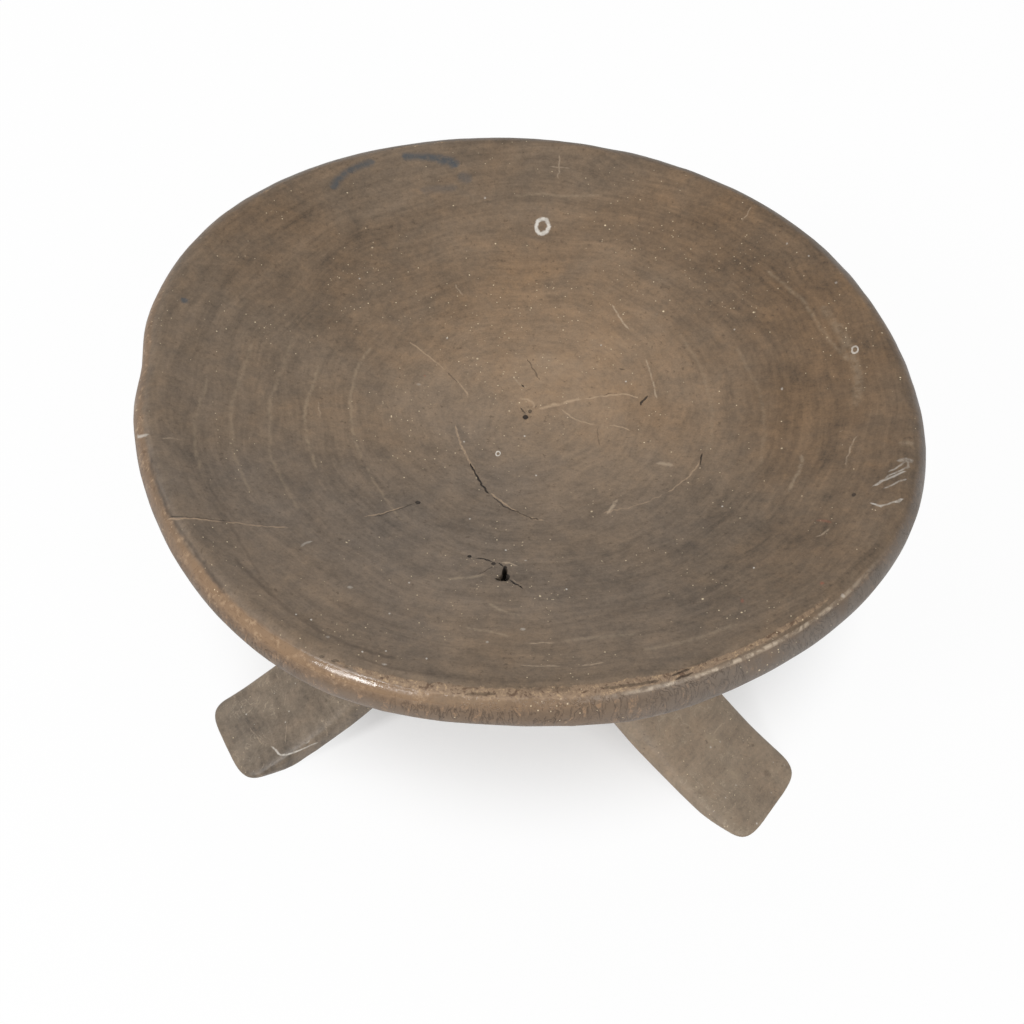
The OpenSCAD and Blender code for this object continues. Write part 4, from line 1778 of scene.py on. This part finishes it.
    def scribe(self) -> list[LayerName]:
        """Lay the seat's marks on its top.

        Returns:
            The layers that they lie on.
        """
        on_top = self.across(read_points(self.obj)) < self.mark_limit
        scribe = Scribe(self.obj, flat=True, open_points=on_top)
        for shape in (*SEAT_LINES, *SEAT_SPOTS):
            scribe.lay(shape)
        scribe.store()
        return list(scribe.layers)

    def carve_knot(self) -> None:
        """Open the knot hole at the front of the dish, in a finer patch of the mesh."""
        points = read_points(self.obj)
        x, y = points[:, 0] - self.knot[0], points[:, 1] - self.knot[1]
        select_points(self.obj, (self.across(points) < 0) & (np.hypot(x, y) < self.knot_reach))
        with editing(self.obj):
            bpy.ops.mesh.subdivide(number_cuts=3)
        points = read_points(self.obj)
        x, y = points[:, 0] - self.knot[0], points[:, 1] - self.knot[1]
        depth = np.zeros(len(points))
        for centre_x, centre_y, wide, deep in self.knot_lobes:
            share = np.hypot((x - centre_x) / wide, (y - centre_y) / deep)
            depth = np.maximum(depth, self.knot_depth * smoothstep(1.15, 0.55, share))
        depth += 0.35 * smoothstep(9, 2, np.hypot(x / 1.3, y))
        points[:, 2] -= np.where(self.across(points) < 0, depth, 0)
        write_points(self.obj, points)

    def take_roots(self, roots: Sequence[bpy.types.Object], sockets: Sequence[bpy.types.Object]) -> None:
        """Join the legs' roots to the belly and bore their sockets.

        Args:
            roots: The roots, each a closed form that runs into the seat.
            sockets: Round bars as large as the sockets.
        """
        for operation, tools in (("UNION", roots), ("DIFFERENCE", sockets)):
            for tool in tools:
                apply_modifier(self.obj, "BOOLEAN", object=tool, operation=operation, solver="MANIFOLD")
                bpy.data.objects.remove(tool)

    def dress(self, wood: bpy.types.Material) -> None:
        """Finish the mesh and give it its wood.

        Args:
            wood: The seat's material.
        """
        settle(self.obj, wood, "seat")


def settle(obj: bpy.types.Object, wood: bpy.types.Material, node: str) -> None:
    """Smooth a finished piece, give it its material and tie it to the frame.

    Args:
        obj: The piece.
        wood: Its material.
        node: The CAD node that it stands for.
    """
    select_only(obj)
    bpy.ops.object.transform_apply(location=True, rotation=True, scale=True)
    bpy.ops.object.shade_smooth_by_angle(angle=math.radians(SMOOTH_ANGLE))
    obj.data.materials.clear()
    obj.data.materials.append(wood)
    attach(obj, "root")
    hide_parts(node)
    log.info("%s: %d faces, stands for %s", obj.name, len(obj.data.polygons), node)


@dataclass
class Leg:
    """A swept leg with its tenon, and the root that meets it on the seat. Sizes in millimetres."""

    place: LegPlace
    shoulder: float = 137
    root_top: float = 158
    foot_reach: float = 157
    foot_width: float = 53
    neck_width: float = 62
    neck_out: float = 76
    neck_thickness: float = 46
    sole_length: float = 31
    root_flare: float = 14
    flare_drop: float = 27
    flare_power: float = 2.5
    outer_sweep: float = 4.4
    inner_sweep: float = 2.9
    neck_squareness: float = 2.6
    foot_squareness: float = 1.6
    nose_height: float = 3
    nose_cut: float = 4
    tenon_diameter: float = 28
    tenon_length: float = 18
    tenon_ease: float = 1
    tenon_bury: float = 2
    tenon_gap: float = 0.1
    socket_spare: float = 1
    hollows: Hollows = Hollows(0.35, 26, 4.4)
    ripples: Hollows = Hollows(0.1, 8, 9.1)
    scoops: Scoops = Scoops(0.2, 22, 6.3)
    segments: int = 48
    bar_segments: int = 64
    rings: int = 26
    root_rings: int = 8
    ring_crowding: float = 1.5
    touch: float = 0.01
    obj: bpy.types.Object | None = field(default=None, repr=False)

    def section(self, height: np.ndarray, turn: np.ndarray) -> np.ndarray:
        """Points of the leg's level sections, turned to the leg's own azimuth.

        Args:
            height: Height of each point.
            turn: Angle of each point round its section, in radians.

        Returns:
            The points, one row each.
        """
        share = 1 - np.minimum(1, height / self.shoulder)
        nose = self.nose_cut * np.maximum(0, 1 - height / self.nose_height) ** 2
        start = self.shoulder - self.flare_drop
        above = np.maximum(0, height - start) / (self.root_top - start)
        flare = self.root_flare * above**self.flare_power
        neck = self.neck_out + self.place.shift
        inside = neck - self.neck_thickness
        outer = neck + (self.foot_reach + self.nose_cut - neck) * share**self.outer_sweep - nose + flare
        inner = inside + (self.foot_reach - self.sole_length - inside) * share**self.inner_sweep - flare
        width = self.neck_width + self.place.wider - (self.neck_width - self.foot_width) * share
        width = width - nose / 2 + 2 * flare
        power = 2 / (self.neck_squareness + self.foot_squareness * share)
        across = width / 2 * signed_power(np.sin(turn), power)
        along = (outer + inner) / 2 + (outer - inner) / 2 * signed_power(np.cos(turn), power)
        along = along + self.place.slant * share**3 * across
        azimuth = math.radians(self.place.azimuth)
        x = along * math.cos(azimuth) - across * math.sin(azimuth)
        y = along * math.sin(azimuth) + across * math.cos(azimuth)
        return np.stack((x, y, height), axis=-1)

    def loft(self, name: str, levels: Sequence[float]) -> bpy.types.Object:
        """Draw a form down through its levels and shape each ring to its section.

        Args:
            name: The object's name.
            levels: The heights of the rings, from the top down.

        Returns:
            The closed form.
        """
        select_only(None)
        bpy.ops.mesh.primitive_circle_add(
            vertices=self.segments, radius=self.neck_width / 2 * MM, fill_type="NGON", location=(0, 0, 0)
        )
        obj = bpy.context.object
        obj.name = name
        with editing(obj):
            bpy.ops.transform.translate(value=(0, 0, levels[0] * MM))
            for level, lower in pairwise(levels):
                drop = (0, 0, (lower - level) * MM)
                bpy.ops.mesh.extrude_region_move(TRANSFORM_OT_translate={"value": drop})
            bpy.ops.mesh.select_all(action="DESELECT")
            bpy.ops.mesh.select_non_manifold()
            bpy.ops.mesh.edge_face_add()
            bpy.ops.mesh.select_all(action="SELECT")
            bpy.ops.mesh.normals_make_consistent(inside=False)
        apply_modifier(obj, "SUBSURF", subdivision_type="SIMPLE", levels=2, render_levels=2)
        points = read_points(obj)
        height = points[:, 2]
        shaped = self.section(height, np.arctan2(points[:, 1], points[:, 0]))
        nothing = np.zeros(len(points))
        middle = (self.section(height, nothing) + self.section(height, nothing + math.pi)) / 2
        reach = np.hypot(points[:, 0], points[:, 1]) / (self.neck_width / 2)
        on_end = (height > levels[0] - self.touch) | (height < levels[-1] + self.touch)
        reach = np.where(on_end, np.minimum(reach, 1), 1)
        write_points(obj, middle + (shaped - middle) * reach[:, None])
        return obj

    def work_surface(self, obj: bpy.types.Object) -> None:
        """Leave the tool's marks on a form, and keep its shoulder and sole flat.

        Args:
            obj: The leg or its root.
        """
        points = read_points(obj)
        normals = read_normals(obj)
        height = points[:, 2]
        flat = (height < self.touch) | (height > self.root_top - 0.5)
        flat |= np.abs(height - self.shoulder) < self.touch
        depth = sum(marks.cut(points) for marks in (self.hollows, self.ripples, self.scoops))
        level = np.where(flat, 0.0, normals[:, 2])
        moved = points - np.stack((normals[:, 0], normals[:, 1], level), axis=-1) * depth[:, None]
        moved[:, 2] = np.where(flat, height, np.maximum(moved[:, 2], 0.0))
        write_points(obj, moved)

    def bar(self, name: str, radius: float, top: float) -> bpy.types.Object:
        """A round bar on the tenon's axis, from a little under the shoulder, with its top edge eased.

        Args:
            name: The object's name.
            radius: Its radius.
            top: Height of its top.

        Returns:
            The bar.
        """
        out = self.neck_out + self.place.shift - self.neck_thickness / 2
        azimuth = math.radians(self.place.azimuth)
        bottom = self.shoulder - self.tenon_bury
        centre = (out * math.cos(azimuth) * MM, out * math.sin(azimuth) * MM, (top + bottom) / 2 * MM)
        select_only(None)
        bpy.ops.mesh.primitive_cylinder_add(
            vertices=self.bar_segments, radius=radius * MM, depth=(top - bottom) * MM, location=centre
        )
        obj = bpy.context.object
        obj.name = name
        for edge in obj.data.edges:
            edge.select = all(obj.data.vertices[v].co.z > 0 for v in edge.vertices)
        for vertex in obj.data.vertices:
            vertex.select = vertex.co.z > 0
        for face in obj.data.polygons:
            face.select = face.normal.z > 0.9
        with editing(obj, "FACE"):
            bpy.ops.mesh.bevel(offset=self.tenon_ease * MM, segments=2, affect="EDGES")
        select_only(obj)
        bpy.ops.object.transform_apply(location=True, rotation=True, scale=True)
        return obj

    def root(self) -> bpy.types.Object:
        """Model the root on the seat's underside, from the shoulder up into the wood.

        Returns:
            The root, a closed form.
        """
        obj = self.loft("root", np.linspace(self.root_top, self.shoulder, self.root_rings).tolist())
        self.work_surface(obj)
        return obj

    def socket(self) -> bpy.types.Object:
        """A bar as large as the tenon's socket."""
        radius = self.tenon_diameter / 2 + self.tenon_gap
        return self.bar("socket", radius, self.shoulder + self.tenon_length + self.socket_spare)

    def build(self) -> bpy.types.Object:
        """Model the leg and its tenon.

        Returns:
            The leg's object.
        """
        steps = range(self.rings, -1, -1)
        levels = [self.shoulder * (step / self.rings) ** self.ring_crowding for step in steps]
        self.obj = self.loft(f"{self.place.name}_carved", levels)
        self.work_surface(self.obj)
        tenon = self.bar("tenon", self.tenon_diameter / 2, self.shoulder + self.tenon_length)
        apply_modifier(self.obj, "BOOLEAN", object=tenon, operation="UNION", solver="MANIFOLD")
        bpy.data.objects.remove(tenon)
        return self.obj

    def scribe(self) -> list[LayerName]:
        """Lay the marks on the leg.

        Returns:
            The layers that they lie on.
        """
        everywhere = np.ones(len(self.obj.data.vertices), dtype=bool)
        scribe = Scribe(self.obj, flat=False, open_points=everywhere)
        for shape in (*LEG_LINES, *LEG_SPOTS):
            scribe.lay(shape)
        scribe.store()
        # The leg's tone is painted light: lighter or darker as the lamps fall on it.
        store_numbers(self.obj, "tone", np.full(len(everywhere), self.place.tone))
        return list(scribe.layers)

    def dress(self, wood: bpy.types.Material) -> None:
        """Finish the mesh and give it its wood."""
        settle(self.obj, wood, self.place.name)


# The front right leg is painted lighter and the front left one darker, for how the lamps fall on them.
LEG_PLACES = (
    LegPlace("leg_front_left", -150.7, 4.3, -1, -0.05, tone=-0.07),
    LegPlace("leg_front_right", -31, -6, 1, -0.06, tone=0.31),
    LegPlace("leg_back", 90, 0, 0, 0.03),
)


@dataclass(frozen=True)
class Lamp:
    """A square soft lamp: where it hangs, how wide it is and its power in watts."""

    name: str
    place: tuple[float, float, float]
    side: float
    power: float


@dataclass
class Studio:
    """A pale floor, soft lamps and the camera. Sizes in millimetres."""

    floor_side: float = 9000
    floor_tone: float = 0.95
    shadow_middle: tuple[float, float, float] = (0, 60, 0)
    shadow_near: float = 105
    shadow_far: float = 185
    white_near: float = 0.28
    white_far: float = 0.95
    target: tuple[float, float, float] = (-3.87, 8.19, 97.3)
    distance: float = 990
    elevation: float = 48.0
    roll: float = 1.0
    turn: float = 5.6
    focal_pixels: float = 2049
    frame_pixels: float = 1024
    sensor: float = 36
    clip: tuple[float, float] = (10, 50000)
    sky: float = 0.68
    aim: tuple[float, float, float] = (0, 0, 170)
    lamps: tuple[Lamp, ...] = (
        Lamp("key", (-1070, -1580, 1750), 540, 25),
        Lamp("back", (-1700, 800, 2070), 900, 8),
        Lamp("fill", (1440, -1890, 1800), 1200, 16),
    )

    def build(self) -> None:
        """Make the floor, the sky, the lamps and the camera."""
        self.build_floor()
        self.build_sky()
        for lamp in self.lamps:
            self.build_lamp(lamp)
        self.build_camera()

    def build_floor(self) -> None:
        """A wide flat floor that looks nearly white but keeps the stool's shadow."""
        select_only(None)
        bpy.ops.mesh.primitive_plane_add(size=self.floor_side * MM, location=(0, 0, 0))
        floor = bpy.context.object
        floor.name = "floor"
        pale = bpy.data.materials.new("floor_pale")
        graph = Graph(pale)
        matte = graph.node("ShaderNodeBsdfDiffuse")
        matte.inputs["Color"].default_value = (*(self.floor_tone,) * 3, 1)
        light = graph.node("ShaderNodeEmission")
        light.inputs["Strength"].default_value = 1.0
        rays = graph.node("ShaderNodeLightPath")
        seen = graph.total(
            [rays.outputs[n] for n in ("Is Camera Ray", "Is Glossy Ray", "Is Transmission Ray")], "MAXIMUM"
        )
        blend = graph.node("ShaderNodeMixShader")
        place = graph.node("ShaderNodeTexCoord").outputs["Object"]
        away = graph.vector("SUBTRACT", place, tuple(Vector(self.shadow_middle) * MM)).outputs[0]
        away = graph.vector("LENGTH", away).outputs["Value"]
        near, far = self.shadow_near * MM, self.shadow_far * MM
        share = graph.ranged(away, near, far, self.white_near, self.white_far)
        seen = graph.times(seen, share)
        for target, value in zip(blend.inputs, (seen, matte.outputs[0], light.outputs[0])):
            graph.put(target, value)
        out = graph.node("ShaderNodeOutputMaterial")
        graph.put(out.inputs[0], blend.outputs[0])
        floor.data.materials.append(pale)

    def build_sky(self) -> None:
        """An even sky, white where the camera sees it."""
        world = bpy.data.worlds.new("studio_sky")
        bpy.context.scene.world = world
        graph = Graph(world)
        rays = graph.node("ShaderNodeLightPath")
        seen = graph.math("MAXIMUM", rays.outputs["Is Camera Ray"], rays.outputs["Is Transmission Ray"])
        skies = [graph.node("ShaderNodeBackground") for _ in range(2)]
        for sky, strength in zip(skies, (self.sky, 1.0)):
            sky.inputs["Strength"].default_value = strength
        blend = graph.node("ShaderNodeMixShader")
        for target, value in zip(blend.inputs, (seen, *(sky.outputs[0] for sky in skies))):
            graph.put(target, value)
        out = graph.node("ShaderNodeOutputWorld")
        graph.put(out.inputs[0], blend.outputs[0])

    def build_lamp(self, lamp: Lamp) -> None:
        """Hang a lamp that points at the seat.

        Args:
            lamp: The lamp.
        """
        data = bpy.data.lights.new(lamp.name, "AREA")
        data.shape = "SQUARE"
        data.size = lamp.side * MM
        data.energy = lamp.power
        obj = bpy.data.objects.new(lamp.name, data)
        bpy.context.scene.collection.objects.link(obj)
        obj.location = Vector(lamp.place) * MM
        aim = Vector(self.aim) * MM - obj.location
        obj.rotation_euler = aim.to_track_quat("-Z", "Y").to_euler()

    def build_camera(self) -> None:
        """The camera, at the viewing angle of the product picture."""
        up_angle, roll, turn = (math.radians(a) for a in (self.elevation, self.roll, self.turn))
        back = Vector((0, -math.cos(up_angle), math.sin(up_angle)))
        right = Vector((1, 0, 0))
        up = back.cross(right)
        level_right = right * math.cos(roll) + up * math.sin(roll)
        level_up = up * math.cos(roll) - right * math.sin(roll)
        place = Vector(self.target) + back * self.distance
        spin = Matrix.Rotation(turn, 3, "Z")
        axes = [spin @ v for v in (level_right, level_up, back)]
        data = bpy.data.cameras.new("camera")
        data.sensor_width = self.sensor
        data.lens = self.sensor * self.focal_pixels / self.frame_pixels
        data.clip_start, data.clip_end = (limit * MM for limit in self.clip)
        camera = bpy.data.objects.new("camera", data)
        bpy.context.scene.collection.objects.link(camera)
        camera.location = spin @ place * MM
        camera.rotation_mode = "QUATERNION"
        camera.rotation_quaternion = Matrix(axes).transposed().to_quaternion()
        bpy.context.scene.camera = camera


def main() -> None:
    """Build the studio, the seat and the legs, and log each piece's faces."""
    logging.basicConfig(level=logging.INFO, format="%(name)s: %(message)s")
    bpy.context.scene.view_settings.view_transform = "Standard"
    Studio().build()

    legs = [Leg(place) for place in LEG_PLACES]
    seat = Seat()
    seat.build()
    seat.take_roots([leg.root() for leg in legs], [leg.socket() for leg in legs])
    seat.carve_knot()
    seat.store_wear()
    seat_wood = SeatFinish(
        name="seat_wood_worn",
        cool=paint(114, 101, 88),
        middle=paint(121, 103, 84),
        warm=paint(127, 101, 74),
    ).material(seat.scribe())
    seat.dress(seat_wood)

    layers: list[LayerName] = []
    for leg in legs:
        leg.build()
        layers += [name for name in leg.scribe() if name not in layers]
    leg_wood = LegFinish(
        name="leg_wood_satin",
        cool=paint(124, 112, 98),
        middle=paint(132, 117, 100),
        warm=paint(138, 117, 95),
        speck_share=0.7,
    ).material(layers)
    for leg in legs:
        leg.dress(leg_wood)


if __name__ == "__main__":
    main()
